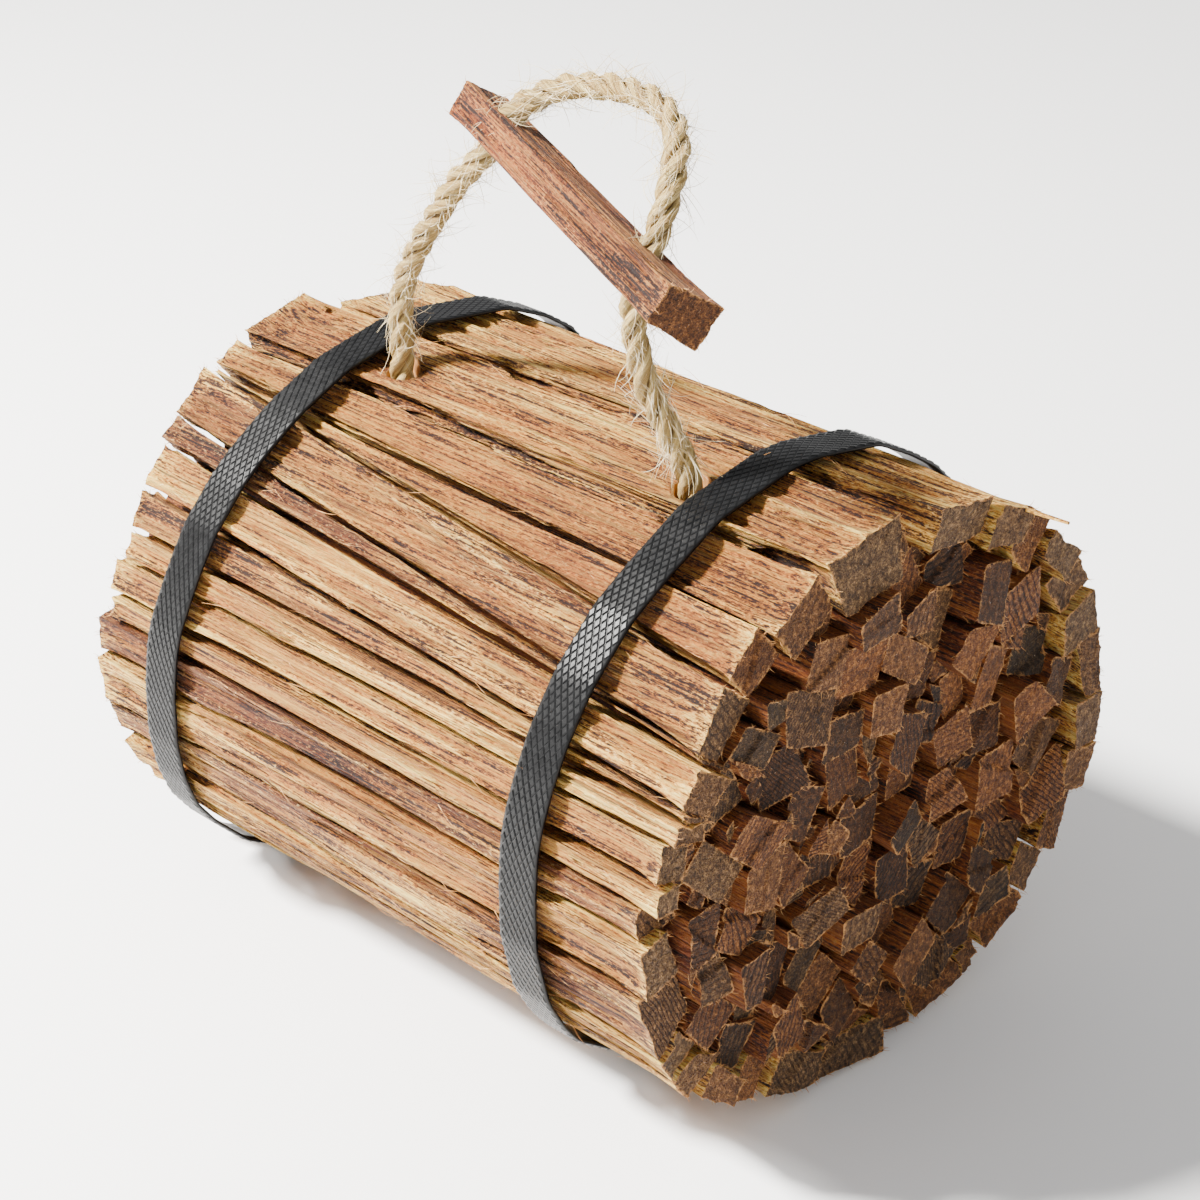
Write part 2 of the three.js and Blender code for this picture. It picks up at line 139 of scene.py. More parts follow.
class Finish(Tree):
    # A material. The tone attribute holds a stick's lightness, redness, purple heartwood and streaks.

    def __init__(self, name):
        self.material = bpy.data.materials.new(name)
        self.material.use_nodes = True
        super().__init__(self.material.node_tree)
        self.surface = self.tree.nodes["Principled BSDF"].inputs

    def attribute(self, name, output="Fac"):
        return self.add("ShaderNodeAttribute", {}, attribute_name=name).outputs[output]

    def toneParts(self):
        tone = self.add("ShaderNodeAttribute", {}, attribute_name="tone").outputs
        return (*self.add("ShaderNodeSeparateColor", {0: tone["Color"]}).outputs, tone["Alpha"])

    def objectPlace(self):
        return self.add("ShaderNodeTexCoord", {}).outputs["Object"]

    def noise(self, vector, stretch, detail, roughness):
        scale = self.add("ShaderNodeVectorMath", {0: vector, 1: stretch}, operation="MULTIPLY")
        inputs = {"Vector": scale.outputs[0], "Scale": 1.0, "Detail": detail, "Roughness": roughness}
        return self.add("ShaderNodeTexNoise", inputs).outputs["Fac"]

    def ramp(self, factor, stops):
        ramp = self.add("ShaderNodeValToRGB", {"Fac": factor})
        elements = ramp.color_ramp.elements
        while len(elements) < len(stops):
            elements.new(0.5)
        for element, (position, colour) in zip(elements, stops):
            element.position = position
            element.color = (*colour, 1)
        return ramp.outputs["Color"]

    def mix(self, factor, first, second, blend="MIX"):
        inputs = {0: factor, 6: first, 7: second}
        return self.add("ShaderNodeMix", inputs, data_type="RGBA", blend_type=blend).outputs[2]

    def tinted(self, colour, factor, tint):
        return self.mix(factor, colour, self.mix(1.0, colour, tint, "MULTIPLY"))

    def bump(self, height, distance, strength=1.0):
        inputs = {"Height": height, "Distance": distance, "Strength": strength}
        self.feed(self.surface["Normal"], self.add("ShaderNodeBump", inputs).outputs["Normal"])

    def paint(self, colour, roughness, specular=0.5):
        self.feed(self.surface["Base Color"], colour)
        self.feed(self.surface["Roughness"], roughness)
        self.feed(self.surface["Specular IOR Level"], specular)


woodSpec = {
    "streaks": [  # from the dark lines to the palest wood
        (0.06, (0.040, 0.014, 0.004)), (0.25, (0.26, 0.098, 0.015)), (0.40, (0.66, 0.32, 0.052)),
        (0.58, (0.96, 0.54, 0.095)), (0.88, (1.0, 0.78, 0.22)),
    ],
    "red": (0.90, 0.62, 0.50), "golden": (1.0, 0.90, 0.74), "purple": (0.40, 0.29, 0.42),
    "olive": (0.50, 0.46, 0.37), "ringLine": (0.45, 0.30, 0.22), "vein": (0.36, 0.16, 0.10),
    # the last colour on the next line is the painted shade laid into the carve's hollows
    "crack": (0.06, 0.024, 0.010), "fleck": (1.0, 0.84, 0.40), "sunk": (0.42, 0.24, 0.14), "relief": 2.5 * mm,
}


def makeSplitWood(name, tint, contrast=1.0):
    # Split faces of pine: crisp streaks along the grain, veins, cracks, reddish and purple-brown bands, and
    # painted shade in the carved hollows.
    wood = Finish(name)
    grain = wood.attribute("grain", "Vector")
    light, red, purple, streakiness = wood.toneParts()
    hair = wood.noise(grain, (13, 1350, 1350), 1, 0.4)
    fine = wood.noise(grain, (34, 1500, 1500), 4, 0.75)
    fleck = wood.noise(grain, (700, 1900, 1900), 2, 0.7)
    band = wood.noise(grain, (11, 420, 420), 3, 0.6)
    broad = wood.noise(grain, (9, 130, 130), 2, 0.5)
    patch = wood.noise(grain, (20, 75, 75), 3, 0.55)

    mixed = wood.scaled(fleck, 0.38, wood.scaled(band, 0.38, wood.times(fine, 0.95)))
    mixed = wood.scaled(broad, 0.30, wood.compute("SUBTRACT", mixed, 1.01))
    streak = wood.scaled(mixed, wood.scaled(streakiness, 2.9 * contrast, 2.2 * contrast), 0.57)
    colour = wood.ramp(wood.compute("ADD", streak, wood.times(light, 0.17)), woodSpec["streaks"])
    redMask = wood.times(wood.scaled(patch, 4.0, -1.6, clamp=True), red)
    colour = wood.tinted(colour, wood.times(redMask, 0.8), woodSpec["red"])
    golden = wood.scaled(broad, 6.0, -2.9, clamp=True)
    colour = wood.tinted(colour, wood.times(golden, 0.8), woodSpec["golden"])
    purpleMask = wood.compute("ADD", wood.times(band, 4.0), wood.scaled(patch, 3.4, -3.95))
    purpleMask = wood.scaled(purple, 1.1, purpleMask, clamp=True)
    purpleMask = wood.times(purpleMask, wood.scaled(purple, 1.6, 0.12, clamp=True))
    colour = wood.tinted(colour, purpleMask, woodSpec["purple"])
    olive = wood.times(wood.scaled(band, 9.0, -4.9, clamp=True), streakiness)
    colour = wood.tinted(colour, wood.times(olive, 0.75), woodSpec["olive"])

    wave = wood.compute("SINE", wood.times(wood.scaled(band, 1.6, wood.attribute("rings")), fullTurn))
    line = wood.times(wood.scaled(wave, 3.0, -2.0, clamp=True), wood.scaled(streakiness, 0.4, 0.15))
    colour = wood.tinted(colour, line, woodSpec["ringLine"])
    strength = wood.scaled(streakiness, 0.5 * contrast, 0.5 * contrast)
    vein = wood.scaled(wood.compute("ABSOLUTE", wood.compute("SUBTRACT", hair, 0.5)), -19.0, 1.0, clamp=True)
    vein = wood.times(vein, wood.scaled(band, 7.0, wood.scaled(patch, 3.0, -4.45), clamp=True))
    colour = wood.tinted(colour, wood.times(vein, strength), woodSpec["vein"])
    crack = wood.compute("MAXIMUM", wood.scaled(hair, -16.0, 5.0), wood.scaled(fine, -15.0, 5.6), clamp=True)
    colour = wood.mix(wood.times(crack, strength), colour, woodSpec["crack"])
    pale = wood.times(wood.scaled(fleck, 13.0, -7.7, clamp=True), 0.5)
    colour = wood.mix(pale, colour, woodSpec["fleck"])
    # painted shade: the colour darkens and warms where the carve lies deep
    colour = wood.tinted(colour, wood.times(wood.attribute("sunk"), 0.9), woodSpec["sunk"])
    wood.paint(wood.mix(1.0, colour, tint, "MULTIPLY"), 0.7, 0.3)
    height = wood.scaled(hair, 0.7, wood.scaled(band, 0.8, fine))
    wood.bump(wood.scaled(fleck, 0.5, height), woodSpec["relief"])
    return wood.material


sawnSpec = {
    "grey": [(0.30, (0.030, 0.013, 0.005)), (0.5, (0.125, 0.063, 0.024)), (0.70, (0.38, 0.21, 0.085))],
    "brown": [(0.30, (0.048, 0.014, 0.003)), (0.5, (0.185, 0.062, 0.015)), (0.70, (0.48, 0.185, 0.048))],
    "ringLine": (0.24, 0.18, 0.17), "stain": (0.38, 0.36, 0.36), "pit": (0.03, 0.016, 0.01),
    "tornRim": (0.66, 0.31, 0.10), "resin": (0.62, 0.50, 0.38), "relief": 2.1 * mm,
}


def makeSawnEnd():
    # Rough-sawn end grain: growth rings across the section, a torn rim and specks of resin.
    sawn = Finish("sawnEnd")
    grain = sawn.attribute("grain", "Vector")
    light, red, purple, _ = sawn.toneParts()
    mottle = sawn.noise(grain, (300, 700, 700), 4, 0.75)
    stain = sawn.noise(grain, (60, 110, 110), 3, 0.6)
    speck = sawn.noise(grain, (1500, 2300, 2300), 2, 0.7)

    grey, brown = (sawn.ramp(mottle, sawnSpec[key]) for key in ("grey", "brown"))
    colour = sawn.mix(sawn.scaled(red, 2.0, -0.3, clamp=True), grey, brown)
    chance = sawn.compute("FRACT", sawn.scaled(purple, 7.7, sawn.times(red, 5.3)))  # one for each stick
    bright = sawn.scaled(light, 0.8, sawn.scaled(chance, 1.2, 0.75))
    bright = sawn.compute("MINIMUM", sawn.compute("MAXIMUM", bright, 0.3), 1.05)
    colour = sawn.mix(1.0, colour, sawn.times(sawn.scaled(speck, 3.8, -0.9), bright), "MULTIPLY")
    bend = sawn.scaled(stain, 2.2, sawn.scaled(mottle, 0.7, sawn.attribute("rings")))
    wave = sawn.compute("SINE", sawn.times(bend, fullTurn))
    line = sawn.times(sawn.scaled(wave, 2.4, -0.9, clamp=True), sawn.scaled(purple, 4.0, -0.7, clamp=True))
    colour = sawn.tinted(colour, sawn.times(line, 0.95), sawnSpec["ringLine"])
    colour = sawn.tinted(colour, sawn.scaled(stain, 5.0, -2.75, clamp=True), sawnSpec["stain"])
    colour = sawn.mix(sawn.scaled(speck, -7.0, 2.6, clamp=True), colour, sawnSpec["pit"])

    edge = sawn.compute("SUBTRACT", sawn.scaled(sawn.attribute("rim"), -1400.0, 0.35), 3.75)
    edge = sawn.scaled(stain, 3.0, sawn.scaled(mottle, 5.0, edge), clamp=True)
    colour = sawn.mix(edge, colour, sawnSpec["tornRim"])
    glint = sawn.scaled(speck, 18.0, -12.7, clamp=True)
    colour = sawn.mix(glint, colour, sawnSpec["resin"])
    sawn.paint(colour, sawn.scaled(glint, -0.45, 0.74), 0.3)
    sawn.bump(sawn.scaled(line, -0.3, sawn.scaled(mottle, 1.3, speck)), sawnSpec["relief"])
    return sawn.material


def makeFibre(name, scale, detailRoughness, stops, roughness):
    fibre = Finish(name)
    shade = fibre.noise(fibre.objectPlace(), (scale, scale, scale), 2, detailRoughness)
    fibre.paint(fibre.ramp(shade, stops), roughness)
    return fibre.material


def unit(vectors):
    return vectors / np.linalg.norm(vectors, axis=-1, keepdims=True)


def heading(turn):
    return np.array([math.cos(turn), math.sin(turn)])


def swungRound(first, second, turn):
    turn = turn[..., None]
    return first * np.cos(turn) + second * np.sin(turn)


def smoothed(rings, axis, stride=1):
    return (np.roll(rings, stride, axis=axis) + 2 * rings + np.roll(rings, -stride, axis=axis)) / 4


def tubeQuads(stations, sides, closed=False):
    # Faces between neighbouring rings of points; on a closed tube the last ring meets the first.
    ring = np.arange(sides)
    following = (ring + 1) % sides
    base = np.arange(stations if closed else stations - 1)[:, None] * sides
    ahead = (base + sides) % (stations * sides)
    return np.stack([base + ring, base + following, ahead + following, ahead + ring], axis=-1).reshape(-1, 4)


def setAttribute(mesh, name, kind, values):
    attribute = mesh.attributes.new(name, kind, "POINT")
    field = {"FLOAT": "value", "FLOAT_VECTOR": "vector", "FLOAT_COLOR": "color"}[kind]
    attribute.data.foreach_set(field, np.asarray(values, np.float32).ravel())


def linkMesh(name, points, quads, triangles, materials, slots=None):
    # Quads and triangles as index arrays; slots lists the quads' material numbers, then the triangles'.
    mesh = bpy.data.meshes.new(name)
    quads, triangles = np.asarray(quads, np.int32), np.asarray(triangles, np.int32)
    totals = np.repeat([4, 3], [len(quads), len(triangles)]).astype(np.int32)
    mesh.vertices.add(len(points))
    mesh.vertices.foreach_set("co", np.asarray(points, np.float32).ravel())
    mesh.loops.add(int(totals.sum()))
    mesh.loops.foreach_set("vertex_index", np.concatenate([quads.ravel(), triangles.ravel()]))
    mesh.polygons.add(len(totals))
    mesh.polygons.foreach_set("loop_start", (np.cumsum(totals) - totals).astype(np.int32))
    mesh.polygons.foreach_set("loop_total", totals)
    mesh.polygons.foreach_set("use_smooth", np.ones(len(totals), bool))
    for material in materials:
        mesh.materials.append(material)
    if slots is not None:
        mesh.polygons.foreach_set("material_index", np.asarray(slots, np.int32))
    mesh.update(calc_edges=True)
    return linkObject(name, mesh)


def handOver(thing, slot, *nodes):
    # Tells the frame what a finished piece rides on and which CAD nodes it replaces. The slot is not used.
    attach(thing, "root")
    if nodes:
        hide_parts(*nodes)


def nodePoints(name):
    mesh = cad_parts[name].data
    points = np.zeros(len(mesh.vertices) * 3)
    mesh.vertices.foreach_get("co", points)
    return points.reshape(-1, 3)


def orderedSection(points):
    # Corners of a stick's section, once each, counter-clockwise seen from +X.
    corners = np.unique(np.round(points, 6), axis=0)
    middle = corners.mean(axis=0)
    return corners[np.argsort(np.arctan2(corners[:, 1] - middle[1], corners[:, 0] - middle[0]))]


def sectionArea(section):
    y, z = section[:, 0], section[:, 1]
    return 0.5 * abs(np.dot(y, np.roll(z, -1)) - np.dot(z, np.roll(y, -1)))


def matchedTo(section, other):
    # The other section, started at the corner that lines it up with the first one.
    a, b = section - section.mean(axis=0), other - other.mean(axis=0)
    best = min(range(len(b)), key=lambda shift: np.abs(a - np.roll(b, shift, axis=0)).sum())
    return np.roll(other, best, axis=0)


readSpec = {"smallest": 10 * mm ** 2, "smallestPlank": 300 * mm ** 2, "largestTip": 600 * mm ** 2}


def readStick(name):
    # Every place along a CAD stick where its corners stand in one plane.
    smallest = readSpec["smallestPlank" if name == "rope_plank" else "smallest"]
    points = nodePoints(name)
    found = []
    for x in np.unique(np.round(points[:, 0], 6)):
        section = orderedSection(points[np.abs(points[:, 0] - x) < 2e-6][:, 1:])
        if len(section) > 5 and len(found) > 1:
            (x0, earlier), (x1, last) = found[-2:]
            ahead = last + (last - earlier) * (x - x1) / (x1 - x0)
            section = np.array([section[np.argmin(np.abs(section - corner).sum(axis=1))] for corner in ahead])
        if 3 < len(section) < 6 and sectionArea(section) > smallest:
            found.append((x, matchedTo(found[0][1], section) if found else section))
    return {"node": name, "sections": found}


def readInnermost(name):
    # The innermost sticks share one CAD solid; each has its own flat tip at both ends.
    points = nodePoints(name)
    tips = {}
    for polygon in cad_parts[name].data.polygons:
        if abs(polygon.normal.x) > 0.99:
            tips.setdefault(round(polygon.center.x, 5), []).extend(points[i][1:] for i in polygon.vertices)
    sections = [(x, orderedSection(np.array(tips[x]))) for x in sorted(tips)]
    sections = [(x, s) for x, s in sections if len(s) < 8 and sectionArea(s) < readSpec["largestTip"]]
    backs = [item for item in sections if item[0] < 0]
    sticks = []
    for frontX, front in (item for item in sections if item[0] > 0):
        gaps = [np.abs(back.mean(axis=0) - front.mean(axis=0)).sum() for _, back in backs]
        backX, back = backs[int(np.argmin(gaps))]
        if min(gaps) < 0.1 * mm and len(back) == len(front):
            sticks.append({"node": None, "sections": [(backX, back), (frontX, matchedTo(back, front))]})
    return sticks


def sectionAt(stick, x):
    # The stick's corners where it crosses one plane, running on straight past its ends.
    xs = [place for place, _ in stick["sections"]]
    i = min(max(int(np.searchsorted(xs, x)) - 1, 0), len(xs) - 2)
    share = (x - xs[i]) / (xs[i + 1] - xs[i])
    return stick["sections"][i][1] * (1 - share) + stick["sections"][i + 1][1] * share


bundleSpec = {
    "seed": 501, "outerTurn": 0.1, "outerSink": 0.8 * mm,
    "planes": (-100 * mm, 90 * mm), "gap": -0.8 * mm,  # the two planes where sticks are fitted to each other
    "outerGrowth": 2.0 * mm, "innerGrowth": 4.0 * mm, "growthRounds": 18, "growthStep": 0.35 * mm,
    "wander": 0.6,  # how far a corner strays from straight out, in radians
    "endPlanes": (-101 * mm, 96.5 * mm), "endSpread": 0.6,  # the share of their spread that inner ends keep
    "sliverTries": 900, "sliverArea": np.array([72, 68]) * mm, "sliverSeed": 0.9 * mm, "sliverGrowth": 6 * mm,
    "sliverRounds": 22, "sliverStep": 0.45 * mm, "smallestSliver": 9 * mm ** 2, "sliverSlant": 30 * mm,
    "sliverBacks": (-104 * mm, -97 * mm), "sliverFronts": (90 * mm, 98 * mm),
}


def keepApart(a, b):
    # True if a straight line fits between two sections with the gap to spare.
    for section in (a, b):
        edge = np.roll(section, -1, axis=0) - section
        normal = np.column_stack([edge[:, 1], -edge[:, 0]])
        normal /= np.linalg.norm(normal, axis=1, keepdims=True) + 1e-12
        sideA, sideB = a @ normal.T, b @ normal.T
        between = np.maximum(sideB.min(axis=0) - sideA.max(axis=0), sideA.min(axis=0) - sideB.max(axis=0))
        if (between > bundleSpec["gap"]).any():
            return True
    return False


def isConvex(section):
    edge = np.roll(section, -1, axis=0) - section
    following = np.roll(edge, -1, axis=0)
    return (edge[:, 0] * following[:, 1] - edge[:, 1] * following[:, 0] > 2e-7).all()


def grownSections(rng, sections, limits, held, rounds, step):
    # Moves corners outward in small steps until the sticks nearly touch, as they do when strapped tight.
    start = [section.copy() for section in sections]
    centres = np.array([section.mean(axis=0) for section in sections])
    reach = [np.linalg.norm(section - centre, axis=1).max() for section, centre in zip(sections, centres)]
    for _ in range(rounds):
        for i in rng.permutation(len(sections)):
            if limits[i] <= 0:
                continue
            near = [j for j in range(len(sections)) if j != i
                    and np.linalg.norm(centres[i] - centres[j]) < reach[i] + reach[j] + 4 * mm]
            for corner in range(len(sections[i])):
                y, z = sections[i][corner] - centres[i]
                turn = rng.uniform(-bundleSpec["wander"], bundleSpec["wander"])
                cosine, sine = heading(turn)
                away = np.array([y * cosine - z * sine, y * sine + z * cosine])
                wanted = sections[i].copy()
                wanted[corner] += unit(away) * step
                outside = np.linalg.norm(wanted[corner] - axisYZ) - np.linalg.norm(start[i][corner] - axisYZ)
                if held[i] and outside > 0.02 * mm:
                    continue
                if np.linalg.norm(wanted[corner] - start[i][corner]) > limits[i] or not isConvex(wanted):
                    continue
                if all(keepApart(wanted, sections[j]) for j in near):
                    sections[i] = wanted
    return sections


def settled(stick, rng):
    # Turns an outer stick a little about its own middle and sinks it by what that lifts, clear of the straps.
    turn = rng.uniform(-1, 1) * bundleSpec["outerTurn"]
    matrix = np.array([[math.cos(turn), math.sin(turn)], [-math.sin(turn), math.cos(turn)]])
    turned = [(x, (s - s.mean(axis=0)) @ matrix + s.mean(axis=0)) for x, s in stick["sections"]]
    lift = max(np.linalg.norm(b - axisYZ, axis=1).max() - np.linalg.norm(a - axisYZ, axis=1).max()
               for (_, a), (_, b) in zip(stick["sections"], turned))
    sink = max(lift, 0) + rng.uniform(0, 1) * bundleSpec["outerSink"]
    return [(x, s - unit(s.mean(axis=0) - axisYZ) * sink) for x, s in turned]


def findSlivers(rng, sections):
    # Plants small squares where there is room between the sticks and grows them to fill it.
    found = []
    for _ in range(bundleSpec["sliverTries"]):
        turn, share = rng.random() * fullTurn, math.sqrt(rng.random())
        place = axisYZ + heading(turn) * bundleSpec["sliverArea"] * share
        corners = np.arange(4) * np.pi / 2 + turn
        planted = place + np.column_stack([np.cos(corners), np.sin(corners)]) * bundleSpec["sliverSeed"]
        near = [other for other in sections if np.linalg.norm(other.mean(axis=0) - place) < 22 * mm]
        if all(keepApart(planted, other) for other in near):
            limits = [0] * len(sections) + [bundleSpec["sliverGrowth"]]
            widened = grownSections(rng, sections + [planted], limits, [False] * len(limits),
                                    bundleSpec["sliverRounds"], bundleSpec["sliverStep"])
            if sectionArea(widened[-1]) > bundleSpec["smallestSliver"]:
                sections = widened
                found.append(widened[-1])
    return found


def joinSlivers(rng, backs, fronts):
    # One sliver from each front section to the nearest back section that is still free.
    joined, left = [], list(backs)
    for front in fronts:
        if left:
            apart = [np.linalg.norm(back.mean(axis=0) - front.mean(axis=0)) for back in left]
            nearest = int(np.argmin(apart))
            back = left.pop(nearest)
            if apart[nearest] < bundleSpec["sliverSlant"]:
                xs = rng.uniform(*bundleSpec["sliverBacks"]), rng.uniform(*bundleSpec["sliverFronts"])
                joined.append({"node": None, "sections": [(xs[0], back), (xs[1], matchedTo(back, front))]})
    return joined


def fillOut(outer, inner):
    # Swells the sticks into the gaps round them and finds room for thin slivers between them.
    rng = np.random.default_rng(bundleSpec["seed"])
    for stick in outer:
        if stick["node"] not in ("rope_plank", "outer_stick_splintered"):
            stick["sections"] = settled(stick, rng)
    limits = [bundleSpec["outerGrowth"]] * len(outer) + [bundleSpec["innerGrowth"]] * len(inner)
    held = [True] * len(outer) + [False] * len(inner)
    slivers, grown = [], []
    for plane in bundleSpec["planes"]:
        before = [sectionAt(stick, plane) for stick in outer + inner]
        after = grownSections(rng, [section.copy() for section in before], limits, held,
                              bundleSpec["growthRounds"], bundleSpec["growthStep"])
        grown.append([b - a for a, b in zip(before, after)])
        slivers.append(findSlivers(rng, after))
    for stick in inner:
        xs = [x for x, _ in stick["sections"]]
        backX, frontX = (plane + (x - plane) * bundleSpec["endSpread"]
                         for x, plane in zip((xs[0], xs[-1]), bundleSpec["endPlanes"]))
        stick["sections"] = [(x, sectionAt(stick, x)) for x in (backX, *xs[1:-1], frontX)]
    backPlane, frontPlane = bundleSpec["planes"]
    for stick, atBack, atFront in zip(outer + inner, *grown):
        stick["sections"] = [(x, section + atBack * (frontPlane - x) / (frontPlane - backPlane)
                              + atFront * (x - backPlane) / (frontPlane - backPlane))
                             for x, section in stick["sections"]]
    return joinSlivers(rng, *slivers)


stickSpec = {  # how fine the skins are, then how deep each mark goes and how far it runs along the stick
    "topSample": 0.44 * mm, "topStep": 1.5 * mm, "outerSample": 0.65 * mm, "outerStep": 2.2 * mm,
    "innerSample": 0.8 * mm, "innerStep": 14 * mm, "innerCarve": 0.3,
    "groove": 0.32 * mm, "grooveRuns": (22 * mm, 12 * mm), "crease": 0.9 * mm, "creaseRun": 70 * mm,
    "ridge": 0.45 * mm, "ridgeRun": 45 * mm, "wave": 0.5 * mm, "waveRun": 55 * mm, "facet": 1.7 * mm,
    "facetRun": 100 * mm, "tornStrip": 1.2 * mm, "stripRun": 50 * mm, "crack": 1.4 * mm, "crackRun": 30 * mm,
    "ragged": 0.16, "raggedRun": 6 * mm, "quietEnd": 11 * mm,
    "sawTilt": 0.07, "sawRough": 0.28 * mm, "sawDents": 0.45 * mm, "chip": 0.4 * mm,
    "chipStep": (0.3 * mm, 1.6 * mm), "ringPitch": (0.9 * mm, 2.4 * mm),
    "capLevels": (0.965, 0.9, 0.8, 0.66, 0.5, 0.32, 0.14),  # rings of points on an end face
}


def smoothStep(share):
    return share * share * (3 - 2 * share)


def gridNoise(rng, across, along, cells):
    # Value noise from 0 to 1: wraps round the section, and runs freely along the stick.
    values = rng.random((int(np.ceil(along.max())) + 2, cells))
    across = across * cells
    left = np.floor(across).astype(int)
    aShare = smoothStep(across - left)
    low = np.floor(along).astype(int)
    vShare = smoothStep(along - low)
    left, right = left % cells, (left + 1) % cells
    atLow = values[low, left] * (1 - aShare) + values[low, right] * aShare
    atHigh = values[low + 1, left] * (1 - aShare) + values[low + 1, right] * aShare
    return atLow * (1 - vShare) + atHigh * vShare


def planeNoise(rng, flat, cell):
    a, b = (flat[:, 0] - flat[:, 0].min()) / cell, (flat[:, 1] - flat[:, 1].min()) / cell
    values = rng.random((int(a.max()) + 2, int(b.max()) + 2))
    a0, b0 = a.astype(int), b.astype(int)
    aShare, bShare = smoothStep(a - a0), smoothStep(b - b0)
    low = values[a0, b0] * (1 - aShare) + values[a0 + 1, b0] * aShare
    high = values[a0, b0 + 1] * (1 - aShare) + values[a0 + 1, b0 + 1] * aShare
    return low * (1 - bShare) + high * bShare


def sampledLoops(stick, spacing, along):
    # Rings of points along the stick, with the same number of points on each side of every ring.
    xs = np.array([x for x, _ in stick["sections"]])
    corners = np.array([section for _, section in stick["sections"]])
    lengths = np.linalg.norm(np.roll(corners, -1, axis=1) - corners, axis=2).mean(axis=0)
    counts = np.maximum(3, np.round(lengths / spacing).astype(int))
    atPlaces = np.zeros((len(along), *corners.shape[1:]))
    for k, axis in np.ndindex(corners.shape[1:]):
        atPlaces[:, k, axis] = np.interp(xs[0] + along, xs, corners[:, k, axis])
    following = np.roll(atPlaces, -1, axis=1)
    parts = []
    for k, n in enumerate(counts):
        share = (np.arange(n) / n)[None, :, None]
        parts.append(atPlaces[:, k:k + 1] * (1 - share) + following[:, k:k + 1] * share)
    return np.concatenate(parts, axis=1)


def stationsAlong(length, step):
    # Close together near the ends, where the saw's chips are, and evenly spaced between.
    near = np.array([0, 0.35, 0.8, 1.5, 2.5, 4, 6, 8.5, 12, 16]) * mm
    if step < 2.5 * mm:
        near = near[:6]
    middle = np.linspace(near[-1], length - near[-1], max(4, int((length - 2 * near[-1]) / step)))
    return np.concatenate([near[:-1], middle, length - near[:-1][::-1]])


def carvedDepth(rng, across, along, samples, length, character):
    # How far the split surface lies below the stick's full section.
    def rough(run, cells):
        return gridNoise(rng, across, along / run, cells)

    def folded(run, cells):
        return np.abs(2 * rough(run, cells) - 1)

    spec = stickSpec
    fine = rough(spec["grooveRuns"][0], samples) * spec["groove"]
    fine += rough(spec["grooveRuns"][1], max(8, samples // 2)) * spec["groove"]
    crease = folded(spec["creaseRun"], max(5, samples // 9)) * spec["crease"]
    ridge = folded(spec["ridgeRun"], max(6, samples // 4)) * spec["ridge"]
    wave = rough(spec["waveRun"], 5) * spec["wave"] * character["wave"]
    wave += folded(spec["facetRun"], 9) * spec["facet"] * character["wave"]
    ragged = rough(spec["raggedRun"], samples) * spec["ragged"]
    strip = rough(spec["stripRun"], max(5, samples // 8)) + ragged
    strip = np.clip((strip - 0.70) * 14, 0, 1) * spec["tornStrip"] * character["torn"]
    crack = rough(spec["crackRun"], max(8, samples // 2)) + ragged * 0.4
    crack = np.clip((crack - 0.89) * 14, 0, 1) * spec["crack"] * character["torn"]
    fromEnd = np.clip(np.minimum(along, length - along) / spec["quietEnd"], 0, 1)
    quiet = 0.2 + 0.8 * fromEnd
    marks = (fine + ridge + crease) * character["rough"] * quiet
    return marks + wave * (0.6 + 0.4 * fromEnd) + strip * quiet + crack * fromEnd


def sawnFace(rng, rim, levels, character):
    # Rings of points from the rim to the middle of an end face, and how deep each lies.
    middle = rim.mean(axis=0)
    flat = np.concatenate([*[middle + (rim - middle) * level for level in levels], middle[None]])
    depth = planeNoise(rng, flat, 1.0 * mm) * stickSpec["sawRough"]
    depth += planeNoise(rng, flat, 4 * mm) * stickSpec["sawDents"]
    slope = (flat - middle) @ rng.normal(0, stickSpec["sawTilt"], 2)
    depth += slope - slope.min()
    depth += 0.08 * mm * np.sin(fullTurn * (flat @ character["ringWay"]) / character["pitch"])
    if rng.random() < 0.5:  # a step, where a chip has split off along one side
        edgeWay = heading(rng.random() * np.pi)
        offset = (flat - middle) @ edgeWay + rng.normal(0, 2 * mm)
        depth += np.clip(offset / (0.3 * mm), 0, 1) * rng.uniform(*stickSpec["chipStep"])
    return flat, depth


def characterOf(rng, tone, carve=1.0):
    ringWay = heading(rng.random() * np.pi)
    return {
        "tone": tone, "carve": carve, "ringWay": ringWay, "wave": rng.uniform(0.5, 1.1),
        "torn": rng.uniform(0.3, 1.0) * (0.35 + tone[3]), "rough": rng.uniform(0.6, 1.0) * (0.4 + tone[3]),
        "pitch": rng.uniform(*stickSpec["ringPitch"]), "shift": rng.random(3),
    }


def outwardWays(loops, sample):
    # Directions out of the skin, rounded off at the corners.
    tangent = np.roll(loops, -1, axis=1) - np.roll(loops, 1, axis=1)
    outward = np.stack([tangent[..., 1], -tangent[..., 0]], axis=-1)
    reach = max(1, int(round(0.9 * mm / sample)))
    for stride in (1, reach, 2 * reach) * 2:
        outward = smoothed(outward, 1, stride)
    return unit(outward)


